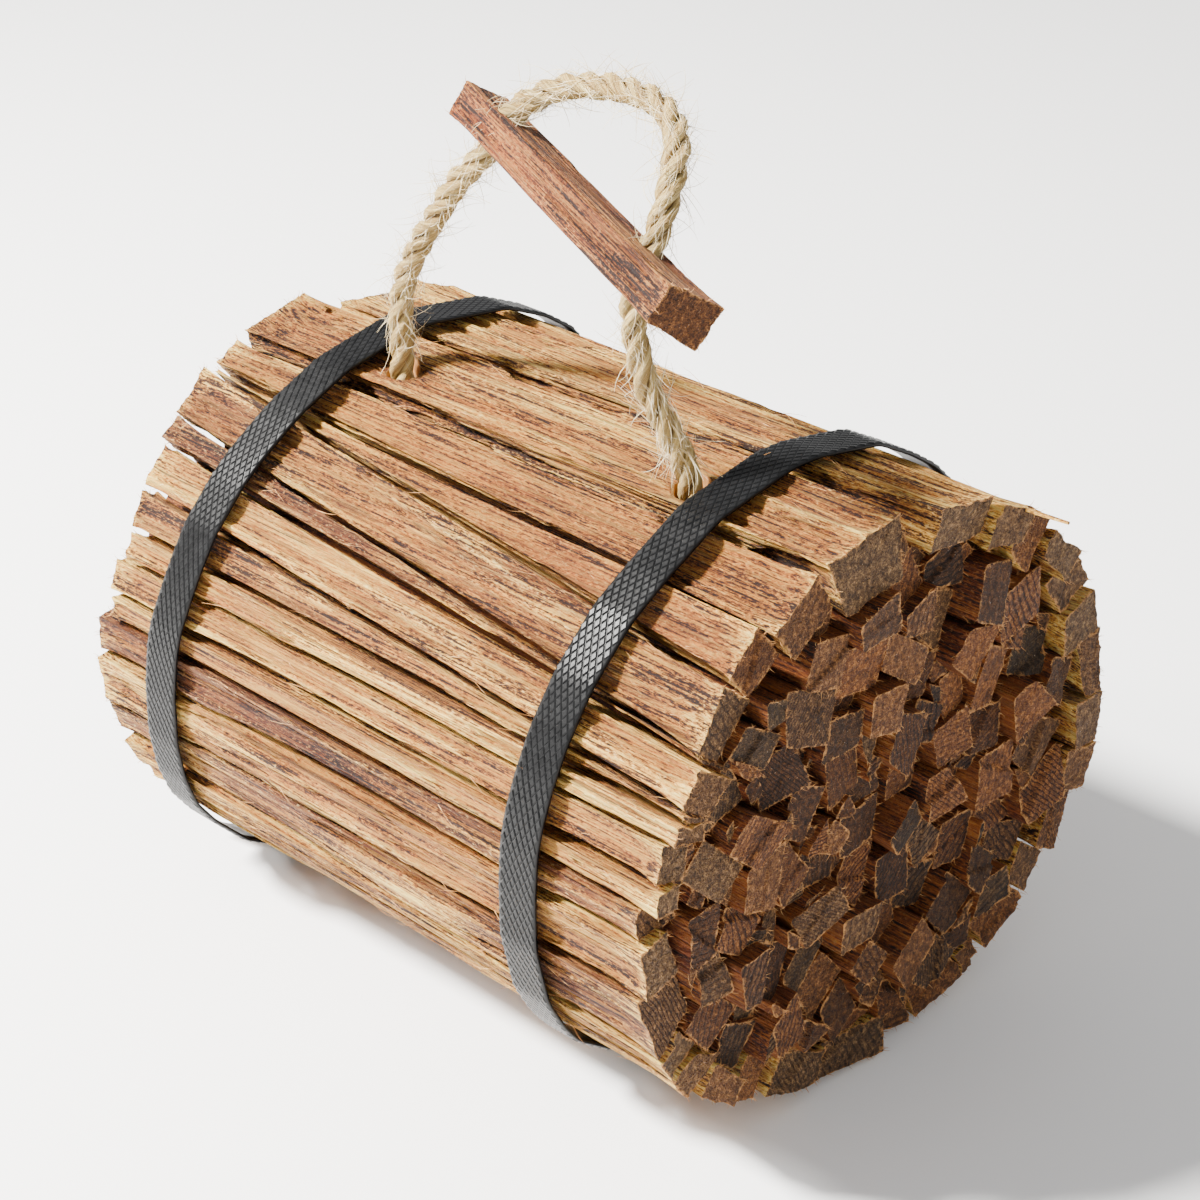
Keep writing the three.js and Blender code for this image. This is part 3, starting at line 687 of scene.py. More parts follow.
def shapeStick(stick, rng, sample, step, character):
    # All the arrays of one stick: a carved skin along its sections and a rough-sawn face at each end.
    firstX, lastX = stick["sections"][0][0], stick["sections"][-1][0]
    along = stationsAlong(lastX - firstX, step)
    loops = smoothed(smoothed(sampledLoops(stick, sample, along), 1), 1)
    stations, count = loops.shape[:2]
    outward = outwardWays(loops, sample)
    across = np.broadcast_to(np.arange(count) / count, (stations, count))
    lengthwise = np.broadcast_to(along[:, None], (stations, count))
    depth = carvedDepth(rng, across, lengthwise, count, lastX - firstX, character) * character["carve"]
    width = math.sqrt(np.mean([sectionArea(section) for _, section in stick["sections"]]))
    depth = np.minimum(depth, width * 0.2)
    loops = loops - outward * depth[..., None]
    x = firstX + lengthwise
    levels = stickSpec["capLevels"]
    caps = []
    for end, inward in ((0, 1), (stations - 1, -1)):
        flat, capDepth = sawnFace(rng, loops[end], [1.0, *levels], character)
        chips = gridNoise(rng, across[0], np.zeros(count), max(9, count // 3)) ** 3 * stickSpec["chip"]
        fade = np.clip(1 - np.abs(along - along[end]) / (4 * mm), 0, 1)[:, None]
        x += inward * (capDepth[:count] + chips)[None] * fade
        capX = firstX + along[end] + inward * (capDepth[count:] + 0.05 * mm)
        caps.append(np.column_stack([capX, flat[count:]]))
    skin = np.concatenate([x[..., None], loops], axis=-1).reshape(-1, 3)
    points = np.concatenate([skin, *caps])

    ring = np.arange(count)
    following = (ring + 1) % count
    quads, triangles = [tubeQuads(stations, count)], []
    start = stations * count
    for end in (0, 1):
        ids = [ring + end * (stations - 1) * count]
        ids += [start + level * count + ring for level in range(len(levels))]
        apex = np.full(count, start + len(levels) * count)
        faces = [[outer, outer[following], inner[following], inner] for outer, inner in zip(ids, ids[1:])]
        way = 1 if end else -1
        quads += [np.stack(face, axis=-1)[:, ::way] for face in faces]
        triangles.append(np.stack([ids[-1], ids[-1][following], apex], axis=-1)[:, ::way])
        start += len(levels) * count + 1
    quads, triangles = np.concatenate(quads), np.concatenate(triangles)

    local = points - points.mean(axis=0)
    bow = 1 + 6 * local[:, 0] ** 2  # the rings part a little along the stick
    # how deep the carve lies, which sets the painted shade in the hollows
    sunk = np.zeros(len(points))
    sunk[:len(skin)] = np.clip(depth.ravel() / (1.6 * mm), 0, 1) ** 1.5
    capRim = np.concatenate([np.repeat([(1 - level) * width / 2 for level in levels], count), [width / 2]])
    fromEnd = np.minimum(along, lastX - firstX - along)
    onRim = np.zeros(len(points), bool)
    onRim[:count] = onRim[len(skin) - count:len(skin)] = True
    return {
        "points": points, "quads": quads, "triangles": triangles,
        "quadSlots": np.arange(len(quads)) >= (stations - 1) * count, "grain": local + character["shift"],
        "tone": np.tile(character["tone"], (len(points), 1)), "sunk": sunk, "onRim": onRim,
        "rings": (local[:, 1:] @ character["ringWay"]) / character["pitch"] * bow,
        "rim": np.concatenate([np.repeat(fromEnd, count), capRim, capRim]),
        "rims": [points[:count], points[len(skin) - count:len(skin)]],
    }


def buildSticks(name, shapes, materials):
    # One mesh from one or more shaped sticks, with crisp edges round the sawn ends.
    starts = np.cumsum([0] + [len(shape["points"]) for shape in shapes[:-1]])
    joined = {key: np.concatenate([shape[key] for shape in shapes])
              for key in ("points", "quadSlots", "grain", "tone", "rings", "sunk", "rim", "onRim")}
    quads, triangles = (np.concatenate([shape[key] + start for shape, start in zip(shapes, starts)])
                        for key in ("quads", "triangles"))
    slots = np.concatenate([joined["quadSlots"], np.ones(len(triangles))])
    thing = linkMesh(name, joined["points"], quads, triangles, materials, slots)
    setAttribute(thing.data, "grain", "FLOAT_VECTOR", joined["grain"])
    setAttribute(thing.data, "tone", "FLOAT_COLOR", joined["tone"])
    for label in ("rings", "sunk", "rim"):
        setAttribute(thing.data, label, "FLOAT", joined[label])
    ends = np.zeros(len(thing.data.edges) * 2, np.int32)
    thing.data.edges.foreach_get("vertices", ends)
    crisp = joined["onRim"][ends.reshape(-1, 2)].all(axis=1)
    thing.data.attributes.new("sharp_edge", "BOOLEAN", "EDGE").data.foreach_set("value", crisp)
    return thing


class Scatter(Tree):
    # A Geometry Nodes tree that puts one instance on every point, with a named input for each size.

    def __init__(self, name, sizes):
        super().__init__(bpy.data.node_groups.new(name, "GeometryNodeTree"))
        interface = self.tree.interface
        interface.new_socket("Geometry", in_out="INPUT", socket_type="NodeSocketGeometry")
        self.sockets = {}
        for label, value in sizes.items():
            kind = "NodeSocketInt" if isinstance(value, int) else "NodeSocketFloat"
            socket = interface.new_socket(label, in_out="INPUT", socket_type=kind)
            socket.default_value = value
            self.sockets[label] = socket.identifier
        socket = interface.new_socket("Material", in_out="INPUT", socket_type="NodeSocketMaterial")
        self.sockets["Material"] = socket.identifier
        interface.new_socket("Geometry", in_out="OUTPUT", socket_type="NodeSocketGeometry")
        self.start = self.tree.nodes.new("NodeGroupInput").outputs

    def vector(self, name):
        node = self.add("GeometryNodeInputNamedAttribute", {"Name": name}, data_type="FLOAT_VECTOR")
        return node.outputs[0]

    def finishWith(self, instance, rotation, scale=(1, 1, 1)):
        inputs = {"Points": self.start["Geometry"], "Instance": instance, "Rotation": rotation, "Scale": scale}
        scatter = self.add("GeometryNodeInstanceOnPoints", inputs)
        realize = self.add("GeometryNodeRealizeInstances", {0: scatter.outputs[0]})
        painted = {"Geometry": realize.outputs[0], "Material": self.start["Material"]}
        paint = self.add("GeometryNodeSetMaterial", painted)
        self.add("NodeGroupOutput", {0: paint.outputs[0]})

    def grownOn(self, name, points, attributes, values):
        # Runs the tree on loose points and keeps the result as a plain mesh.
        seedMesh = bpy.data.meshes.new(name + "Points")
        seedMesh.vertices.add(len(points))
        seedMesh.vertices.foreach_set("co", np.asarray(points, np.float32).ravel())
        for label, vectors in attributes.items():
            setAttribute(seedMesh, label, "FLOAT_VECTOR", vectors)
        seedObject = linkObject(name + "Points", seedMesh)
        modifier = seedObject.modifiers.new(name, "NODES")
        modifier.node_group = self.tree
        for label, value in values.items():
            modifier[self.sockets[label]] = value
        bpy.context.view_layer.update()
        evaluated = seedObject.evaluated_get(bpy.context.evaluated_depsgraph_get())
        mesh = bpy.data.meshes.new_from_object(evaluated)
        mesh.name = name
        bpy.data.objects.remove(seedObject)
        return linkObject(name, mesh)


def makeFibreTree():
    # A thin bent fibre on every point, pointing along the point's aim and turned a little at random.
    tree = Scatter("looseFibres", {
        "Length": 1.0 * mm, "Thickness": 0.1 * mm, "Segments": 4, "Bend": 0.3, "Spread": 0.5, "Shortest": 0.3,
        "Seed": 1,
    })
    start = tree.start
    middle = {"X": tree.times(start["Length"], start["Bend"]), "Z": tree.times(start["Length"], 0.55)}
    middle = tree.add("ShaderNodeCombineXYZ", middle).outputs[0]
    tip = tree.add("ShaderNodeCombineXYZ", {"Z": start["Length"]}).outputs[0]
    curve = {"Resolution": start["Segments"], "Start": (0, 0, 0), "Middle": middle, "End": tip}
    curve = tree.add("GeometryNodeCurveQuadraticBezier", curve).outputs[0]
    taper = tree.scaled(tree.add("GeometryNodeSplineParameter", {}).outputs["Factor"], -0.75, 1.0)
    tapered = tree.add("GeometryNodeSetCurveRadius", {"Curve": curve, "Radius": taper}).outputs[0]
    profile = {"Resolution": 3, "Radius": start["Thickness"]}
    profile = tree.add("GeometryNodeCurvePrimitiveCircle", profile).outputs[0]
    body = {"Curve": tapered, "Profile Curve": profile, "Scale": taper, "Fill Caps": True}
    body = tree.add("GeometryNodeCurveToMesh", body).outputs[0]

    spread, less = start["Spread"], tree.times(start["Spread"], -1)
    least = tree.add("ShaderNodeCombineXYZ", {"X": less, "Y": less, "Z": -math.pi}).outputs[0]
    most = tree.add("ShaderNodeCombineXYZ", {"X": spread, "Y": spread, "Z": math.pi}).outputs[0]
    wander = {0: least, 1: most, "Seed": start["Seed"]}
    wander = tree.add("FunctionNodeRandomValue", wander, data_type="FLOAT_VECTOR").outputs[0]
    aim = tree.add("FunctionNodeAlignRotationToVector", {"Vector": tree.vector("aim")}, axis="Z").outputs[0]
    turn = tree.add("FunctionNodeEulerToRotation", {0: wander}).outputs[0]
    turned = tree.add("FunctionNodeRotateRotation", {0: aim, 1: turn}, rotation_space="LOCAL").outputs[0]
    size = {2: start["Shortest"], 3: 1.0, "Seed": start["Seed"]}
    size = tree.add("FunctionNodeRandomValue", size, data_type="FLOAT").outputs[1]
    tree.finishWith(body, turned, size)
    return tree


def makeDiamondTree():
    # A low four-sided boss on every point, its long way along the strap.
    tree = Scatter("embossedDiamonds", {"Length": 3.5 * mm, "Width": 2.0 * mm, "Height": 0.15 * mm})
    boss = {"Vertices": 4, "Radius Top": 0.3, "Radius Bottom": 0.46, "Depth": 1.0}
    boss = tree.add("GeometryNodeMeshCone", boss).outputs["Mesh"]
    sizes = zip("XYZ", (tree.start[label] for label in ("Length", "Width", "Height")))
    size = tree.add("ShaderNodeCombineXYZ", dict(sizes)).outputs[0]
    shape = tree.add("GeometryNodeTransform", {"Geometry": boss, "Scale": size}).outputs[0]
    ways = {0: tree.vector("aim"), 1: tree.vector("along")}
    turn = tree.add("FunctionNodeAxesToRotation", ways, primary_axis="Z", secondary_axis="X").outputs[0]
    tree.finishWith(shape, turn)
    return tree


ropeSpec = {
    "seed": 11, "diameter": 6.4 * mm, "layLength": 21 * mm, "sides": 16, "step": 0.75 * mm,
    "strandsAcross": 2.1547,  # the rope's diameter in strand diameters, where three strands touch
    "yarns": 7, "yarnLay": 0.55, "yarnTurn": 6.28, "lobes": 0.07, "rough": 0.07, "swell": 0.075,
    "straw": [(0.28, (0.14, 0.060, 0.012)), (0.42, (0.46, 0.27, 0.070)), (0.55, (0.76, 0.54, 0.185)),
              (0.73, (0.96, 0.80, 0.38))],
    "deepShade": (0.22, 0.13, 0.06), "relief": 1.1 * mm,
    "route": [  # in mm from the bundle's axis, from the back hole over the grip to the front hole
        (-52, -17.3, 64), (-52, -17.4, 72), (-51.9, -17.5, 80), (-51.4, -17.6, 92), (-49.6, -17.4, 100),
        (-45.6, -16.8, 108.4), (-37.2, -15.9, 121), (-30.8, -15.2, 129.8), (-25.4, -13.8, 135.6),
        (-21.8, -12, 141), (-18.6, -9.2, 147), (-13.6, -7.4, 151.6), (-4, -5.4, 156.4), (8, -4.4, 159),
        (19, -4.8, 159.6), (28.6, -6.2, 158.4), (34.8, -9, 155.6), (38.6, -13, 150.6), (41, -17.6, 144),
        (41.6, -21.6, 136.6), (40.4, -25, 129.6), (39.6, -27, 123), (39.6, -27.4, 116), (41, -26.6, 106),
        (43.6, -24.4, 96), (46.4, -21.6, 88), (48.4, -18.8, 80), (49.3, -17.6, 72), (49.5, -17.3, 64),
    ],
}


def makeSisal():
    # Sisal yarns: pale straw, darker fibres along each strand, and a brown shade deep between the strands.
    sisal = Finish("sisal")
    yarn = sisal.attribute("yarn", "Vector")
    fibre = sisal.noise(yarn, (150, 6.0, 1.0), 4, 0.7)
    patch = sisal.noise(yarn, (55, 0.5, 1.0), 2, 0.5)
    colour = sisal.ramp(sisal.scaled(fibre, 1.1, sisal.scaled(patch, 0.5, -0.3)), ropeSpec["straw"])
    sisal.paint(sisal.tinted(colour, sisal.attribute("sunk"), ropeSpec["deepShade"]), 0.6)
    sisal.bump(fibre, ropeSpec["relief"])
    return sisal.material


def curveThrough(points, perSpan=24):
    # Centripetal Catmull-Rom curve through the points.
    ends = np.concatenate([[2 * points[0] - points[1]], points, [2 * points[-1] - points[-2]]])
    out = []
    for i in range(1, len(ends) - 2):
        p = ends[i - 1:i + 3]
        t = np.concatenate([[0], np.cumsum(np.linalg.norm(np.diff(p, axis=0), axis=1) ** 0.5)])
        s = np.linspace(t[1], t[2], perSpan, endpoint=False)[:, None]

        def between(low, high, first, second):
            return (t[high] - s) / (t[high] - t[low]) * first + (s - t[low]) / (t[high] - t[low]) * second

        a = [between(k, k + 1, p[k], p[k + 1]) for k in range(3)]
        b = [between(k, k + 2, a[k], a[k + 1]) for k in range(2)]
        out.append(between(1, 2, *b))
    return np.concatenate([*out, ends[-2][None]])


def evenly(points, step):
    gaps = np.linalg.norm(np.diff(points, axis=0), axis=1)
    reach = np.concatenate([[0], np.cumsum(gaps)])
    wanted = np.linspace(0, reach[-1], int(reach[-1] / step) + 1)
    return np.stack([np.interp(wanted, reach, points[:, axis]) for axis in range(3)], axis=1), wanted


def carriedFrames(path):
    # Two directions across the path, carried along it without twist.
    tangent = unit(np.gradient(path, axis=0))
    first = np.zeros_like(path)
    first[0] = np.cross(tangent[0], (0, 1, 0))
    for i in range(1, len(path)):
        first[i] = first[i - 1] - tangent[i] * (first[i - 1] @ tangent[i])
    first = unit(first)
    return tangent, first, np.cross(tangent, first)


def sweptTube(middle, radial, sideways, radii):
    # Closed tube: a loop of points round each place on the middle line, each end closed by a fan.
    stations, sides = radii.shape
    turn = np.linspace(0, fullTurn, sides, endpoint=False)
    offset = swungRound(radial[:, None], sideways[:, None], turn)
    points = (middle[:, None] + offset * radii[..., None]).reshape(-1, 3)
    ring = np.arange(sides)
    following = (ring + 1) % sides
    last = (stations - 1) * sides
    fans = [np.stack([following, ring, np.full(sides, stations * sides)], axis=-1),
            np.stack([last + ring, last + following, np.full(sides, stations * sides + 1)], axis=-1)]
    return np.concatenate([points, middle[:1], middle[-1:]]), tubeQuads(stations, sides), np.concatenate(fans)


def makeRope():
    spec = ropeSpec
    rng = np.random.default_rng(spec["seed"])
    path, reach = evenly(curveThrough(np.array(spec["route"]) * mm + np.array(bundleAxis)), spec["step"])
    tangent, first, second = carriedFrames(path)
    strandRadius = spec["diameter"] / 2 / spec["strandsAcross"]
    angle = np.linspace(0, fullTurn, spec["sides"], endpoint=False)
    yarnReach = reach[:, None] / (spec["layLength"] * spec["yarnLay"])
    points, quads, triangles, yarn, sunk = [], [], [], [], []
    for strand in range(3):
        away = swungRound(first, second, fullTurn * (strand / 3 + reach / spec["layLength"]))
        middle = path + away * (spec["diameter"] / 2 - strandRadius)
        sideways = np.cross(unit(np.gradient(middle, axis=0)), away)
        lobes = np.cos(spec["yarns"] * angle[None] - fullTurn * yarnReach)
        rough = rng.normal(0, 1, (len(reach), spec["sides"]))
        rough = (rough + np.roll(rough, 1, axis=0) + np.roll(rough, -1, axis=0)) / 3
        swell = np.interp(reach, np.linspace(0, reach[-1], 40), rng.normal(0, 1, 40))[:, None]
        radii = strandRadius * (1.0 + spec["lobes"] * lobes + spec["rough"] * rough + spec["swell"] * swell)
        tube = sweptTube(middle, away, sideways, radii)
        shift = strand * len(tube[0])
        points.append(tube[0])
        quads.append(tube[1] + shift)
        triangles.append(tube[2] + shift)
        yarnAcross = (angle[None] * spec["yarns"] / spec["yarnTurn"] - yarnReach) * 2.4
        lengthwise = np.broadcast_to(reach[:, None], radii.shape)
        values = np.stack([lengthwise, yarnAcross, np.full(radii.shape, strand * 7.3)], axis=-1).reshape(-1, 3)
        yarn.append(np.concatenate([values, values[:1], values[-1:]]))
        # painted shade on the sides of the strands that face the rope's middle, deep between the strands
        offAxis = np.linalg.norm(tube[0][:-2].reshape(*radii.shape, 3) - path[:, None], axis=2)
        deep = np.clip((0.78 - offAxis / (spec["diameter"] / 2)) / 0.35, 0, 1).ravel()
        sunk.append(np.concatenate([deep, [0.5, 0.5]]))
    points, quads, triangles = (np.concatenate(parts) for parts in (points, quads, triangles))
    rope = linkMesh("rope_strands", points, quads, triangles, [makeSisal()])
    setAttribute(rope.data, "yarn", "FLOAT_VECTOR", np.concatenate(yarn))
    setAttribute(rope.data, "sunk", "FLOAT", np.concatenate(sunk))
    handOver(rope, "rope", "rope")
    return rope, path, reach, (tangent, first, second)


whiskerSpec = {
    "seed": 29, "count": 2100, "standing": 0.4, "bareEnds": 16 * mm,
    "straw": [(0.3, (0.46, 0.31, 0.14)), (0.6, (0.82, 0.70, 0.45))],
    "fibre": {"Length": 10.5 * mm, "Thickness": 0.12 * mm, "Segments": 4, "Bend": 0.22, "Spread": 0.3,
              "Shortest": 0.2, "Seed": 5},
}


def makeWhiskers(path, frames):
    # Loose sisal fibres that stand off the rope.
    rng = np.random.default_rng(whiskerSpec["seed"])
    tangent, first, second = frames
    bare = int(whiskerSpec["bareEnds"] / ropeSpec["step"])
    picks = rng.choice(np.arange(len(path))[bare:len(path) - bare], whiskerSpec["count"])
    count = len(picks)
    away = swungRound(first[picks], second[picks], rng.random(count) * fullTurn)
    points = path[picks] + away * ropeSpec["diameter"] * 0.42
    way = np.where(rng.random(count) < 0.5, 1, -1)[:, None]
    stands = rng.random((count, 1)) < whiskerSpec["standing"]
    lift = np.where(stands, rng.uniform(0.35, 1.1, (count, 1)), 0.12)
    aim = away * lift + tangent[picks] * way * rng.uniform(0.5, 1.0, (count, 1))
    aim += np.cross(tangent[picks], away) * 0.35
    material = makeFibre("whiskerFibre", 250, 0.5, whiskerSpec["straw"], 0.5)
    values = {**whiskerSpec["fibre"], "Material": material}
    whiskers = fibreTree.grownOn("rope_whiskers", points, {"aim": aim}, values)
    handOver(whiskers, "rope")
    return whiskers


gripSpec = {
    "seed": 77, "centre": Vector((14, -20.4, 136)) * mm + bundleAxis, "along": Vector((0.939, -0.3, -0.17)),
    "up": Vector((0.304, 0.485, 0.82)), "hole": 7.2 * mm, "sample": 0.45 * mm, "step": 0.8 * mm,
    "tone": (-0.8, 1.0, 0.15, 0.9), "tint": (0.45, 0.30, 0.27),
    "character": {"wave": 0.35, "torn": 0.35, "rough": 0.6, "pitch": 1.6 * mm,
                  "ringWay": np.array([0.2, 0.98])},
}
drillSpec = {"length": 60 * mm, "sides": 28, "tone": (-1.6, 0.6, 0.0, 0.5), "removed": (0.005, 0.12)}


def meshVolume(mesh):
    shape = bmesh.new()
    shape.from_mesh(mesh)
    volume = shape.calc_volume(signed=True)
    shape.free()
    return volume


def drill(thing, holes, diameter):
    # Cuts round holes through a piece, and reports any that takes more or less wood than a hole should.
    sides = drillSpec["sides"]
    for centre, way in holes:
        way = unit(np.array(way))
        first = unit(np.cross(way, (0, 1, 0.3)))
        second = np.cross(way, first)
        circle = swungRound(first, second, np.linspace(0, fullTurn, sides, endpoint=False)) * diameter / 2
        half = way * drillSpec["length"] / 2
        points = np.concatenate([centre + circle - half, centre + circle + half])
        walls = [(i, (i + 1) % sides, sides + (i + 1) % sides, sides + i) for i in range(sides)]
        faces = [*walls, tuple(range(sides))[::-1], tuple(range(sides, 2 * sides))]
        cutterMesh = bpy.data.meshes.new("drillBit")
        cutterMesh.from_pydata(points.tolist(), [], faces)
        cutterMesh.update()
        for material in thing.data.materials:
            cutterMesh.materials.append(material)
        cutterMesh.polygons.foreach_set("material_index", [1] * len(faces))
        setAttribute(cutterMesh, "rim", "FLOAT", np.full(len(points), 10 * mm))
        setAttribute(cutterMesh, "tone", "FLOAT_COLOR", np.tile(drillSpec["tone"], (len(points), 1)))
        cutter = linkObject("drillBit", cutterMesh)
        boolean = thing.modifiers.new("drill", "BOOLEAN")
        boolean.operation, boolean.object, boolean.solver = "DIFFERENCE", cutter, "MANIFOLD"
        bpy.context.view_layer.update()
        evaluated = thing.evaluated_get(bpy.context.evaluated_depsgraph_get())
        cut = bpy.data.meshes.new_from_object(evaluated)
        thing.modifiers.clear()
        removed = 1 - meshVolume(cut) / meshVolume(thing.data)
        thing.data = cut
        bpy.data.objects.remove(cutter)
        if not drillSpec["removed"][0] < removed < drillSpec["removed"][1]:
            print("a hole did not cut clean in", thing.name)


def ropeCrossings(path, centre, along, low, high):
    # Where the rope crosses each half of the grip: the middle of the crossing and the rope's way there.
    way = unit(np.gradient(path, axis=0))
    offset = path - centre
    lengthwise = offset @ along
    aside = np.linalg.norm(offset - lengthwise[:, None] * along, axis=1)
    crossings = []
    for half in (lengthwise < 0, lengthwise >= 0):
        nearest = int(np.argmin(np.where(half & (lengthwise > low) & (lengthwise < high), aside, 1)))
        crossings.append((path[nearest], way[nearest]))
    return crossings


def makeGrip(materials, path):
    along = gripSpec["along"].normalized()
    across = gripSpec["up"].cross(along).normalized()
    turn = np.array([along, across, along.cross(across)])
    centre = np.array(gripSpec["centre"])
    points = (nodePoints("grip") - centre) @ turn.T
    rng = np.random.default_rng(gripSpec["seed"])
    character = {**characterOf(rng, gripSpec["tone"]), **gripSpec["character"]}
    low, high = points[:, 0].min(), points[:, 0].max()
    back, front = (orderedSection(points[np.abs(points[:, 0] - x) < 20e-6][:, 1:]) for x in (low, high))
    stick = {"sections": [(low, back), (high, matchedTo(back, front))]}
    shape = shapeStick(stick, rng, gripSpec["sample"], gripSpec["step"], character)
    shape["points"] = shape["points"] @ turn + centre
    grip = buildSticks("grip_stick", [shape], materials)
    drill(grip, ropeCrossings(path, centre, np.array(along), low, high), gripSpec["hole"])
    handOver(grip, "red_wood", "grip")
    return [rim @ turn + centre for rim in shape["rims"]], turn[0]


strapSpec = {
    "width": 12 * mm, "thickness": 0.9 * mm, "step": 1.2 * mm, "clearance": 0.2 * mm, "raised": 0.16 * mm,
    "diamondLength": 3.6 * mm, "diamondWidth": 2.0 * mm,
    "profile": [  # across in widths, up in thicknesses, once round the band
        (-0.5, -1), (-0.5, -0.25), (-0.475, 0), (-0.25, 0), (0, 0), (0.25, 0), (0.475, 0), (0.5, -0.25),
        (0.5, -1), (0.25, -1), (0, -1), (-0.25, -1),
    ],
    "black": [(0.3, (0.003, 0.0031, 0.0034)), (0.7, (0.008, 0.0082, 0.0088))],
}


def makeStrapPlastic():
    plastic = Finish("strapPlastic")
    place = plastic.objectPlace()
    scuff = plastic.noise(place, (260, 260, 260), 4, 0.7)
    dust = plastic.noise(place, (1900, 1900, 1900), 2, 0.6)
    plastic.paint(plastic.ramp(scuff, strapSpec["black"]), plastic.scaled(scuff, 0.24, 0.23), 0.16)
    plastic.bump(dust, 0.04 * mm, 0.7)
    return plastic.material


def strapLine(name):
    # The outer line of a CAD strap: closed, evenly spaced, rounded and kept clear of the ground.
    points = nodePoints(name)
    corners = np.unique(np.round(points[:, 1:], 6), axis=0)
    atCorner = [np.abs(points[:, 1:] - corner).max(axis=1) < 3e-6 for corner in corners]
    middleX = np.array([points[found, 0].mean() for found in atCorner])
    offset = corners - axisYZ
    turn = np.arctan2(offset[:, 1], offset[:, 0])
    radius = np.linalg.norm(offset, axis=1)
    order = np.argsort(turn)
    outer = []
    for place, i in enumerate(order):  # an outer corner has an inner one right under it
        for j in (order[place - 1], order[(place + 1) % len(order)]):
            apart = abs(np.angle(np.exp(1j * (turn[i] - turn[j]))))
            if apart < 0.02 and radius[i] > radius[j] and i not in outer:
                outer.append(i)
    line = np.column_stack([middleX[outer], corners[outer]])
    path, _ = evenly(np.concatenate([line, line[:1]]), strapSpec["step"])
    path = path[:-1]
    for _ in range(3):
        path = smoothed(path, 0)
    path[:, 2] = np.maximum(path[:, 2], strapSpec["clearance"])
    return path


def makeStrap(name, plastic):
    path = strapLine(name)
    count = len(path)
    tangent = unit(np.roll(path, -1, axis=0) - np.roll(path, 1, axis=0))
    outward = unit(np.cross(tangent, (1, 0, 0)))
    acrossWay = np.array((1, 0, 0))
    width, thickness, raised = (strapSpec[key] for key in ("width", "thickness", "raised"))
    rings = [path + acrossWay * width * across + outward * (thickness * up - raised)
             for across, up in strapSpec["profile"]]
    points = np.stack(rings, axis=1).reshape(-1, 3)
    quads = tubeQuads(count, len(rings), closed=True)[:, ::-1]
    band = linkMesh(name + "_band", points, quads, [], [plastic])
    handOver(band, "strap", name)

    steps = np.linalg.norm(np.roll(path, -1, axis=0) - path, axis=1)
    total, reach = steps.sum(), np.concatenate([[0], np.cumsum(steps)])
    rows = int(round(total / strapSpec["diamondLength"])) * 2
    pointsOn, aims, alongs = [], [], []
    for row in range(rows):
        at = total * row / rows
        index = np.searchsorted(reach, at, side="right") - 1
        following = (index + 1) % count
        share = (at - reach[index]) / (reach[index + 1] - reach[index])
        place = path[index] * (1 - share) + path[following] * share
        aim = outward[index] * (1 - share) + outward[following] * share
        columns = 6 if row % 2 else 5
        for column in range(columns):
            across = (column - (columns - 1) / 2) * strapSpec["diamondWidth"]
            if abs(across) < width / 2 - strapSpec["diamondWidth"] * 0.45:
                pointsOn.append(place + acrossWay * across - aim * raised * 0.55)
                aims.append(aim)
                alongs.append(tangent[index])
    bosses = diamondTree.grownOn(name + "_bosses", pointsOn, {"aim": aims, "along": alongs}, {
        "Length": strapSpec["diamondLength"], "Width": strapSpec["diamondWidth"], "Height": raised,
        "Material": plastic,
    })
    handOver(bosses, "strap", name)


fibreSpec = {
    "wood": [(0.3, (0.20, 0.075, 0.020)), (0.52, (0.55, 0.25, 0.075)), (0.75, (0.82, 0.52, 0.22))],
    "rimSpacing": 1.5 * mm, "sideCount": 700, "sideSeed": 61, "sideReach": 85 * mm,
    "rim": {"Length": 1.9 * mm, "Thickness": 0.1 * mm, "Segments": 2, "Bend": 0.25, "Spread": 0.5,
            "Shortest": 0.15, "Seed": 3},
    "side": {"Length": 9 * mm, "Thickness": 0.11 * mm, "Segments": 3, "Bend": 0.12, "Spread": 0.25,
             "Shortest": 0.2, "Seed": 8},
}
rimPoints, rimAims, sidePoints = [], [], []


def noteRims(rims, way=(1.0, 0, 0)):
    # Picks places on the rims of a stick's two ends, where torn fibres will stand.
    rng = np.random.default_rng(len(rimPoints) + 1)
    for end, rim in zip((-1, 1), rims):
        length = np.linalg.norm(np.roll(rim, -1, axis=0) - rim, axis=1).sum()
        clump = rng.random(len(rim)) ** 2
        picks = rng.choice(len(rim), int(length / fibreSpec["rimSpacing"]), p=clump / clump.sum())
        share = rng.random((len(picks), 1))
        place = rim[picks] * (1 - share) + rim[(picks + 1) % len(rim)] * share
        outward = unit(place - rim.mean(axis=0)) * rng.uniform(0.0, 0.9, (len(picks), 1))
        forward = np.array(way) * end
        rimPoints.append(place - forward * 0.1 * mm)
        rimAims.append(outward + forward * rng.uniform(0.1, 1.0, (len(picks), 1)))


def noteSide(skin):
    # Keeps a share of the places on a stick that lie farthest out, away from its ends.
    away = np.linalg.norm((skin - np.array(bundleAxis))[:, 1:], axis=1)
    picked = (away > np.percentile(away, 82)) & (np.abs(skin[:, 0]) < fibreSpec["sideReach"])
    sidePoints.extend(skin[picked][::9])


def makeRimFibres(material):
    points, aims = np.concatenate(rimPoints), np.concatenate(rimAims)
    values = {**fibreSpec["rim"], "Material": material}
    handOver(fibreTree.grownOn("sawn_rim_fibres", points, {"aim": aims}, values), "split_wood")


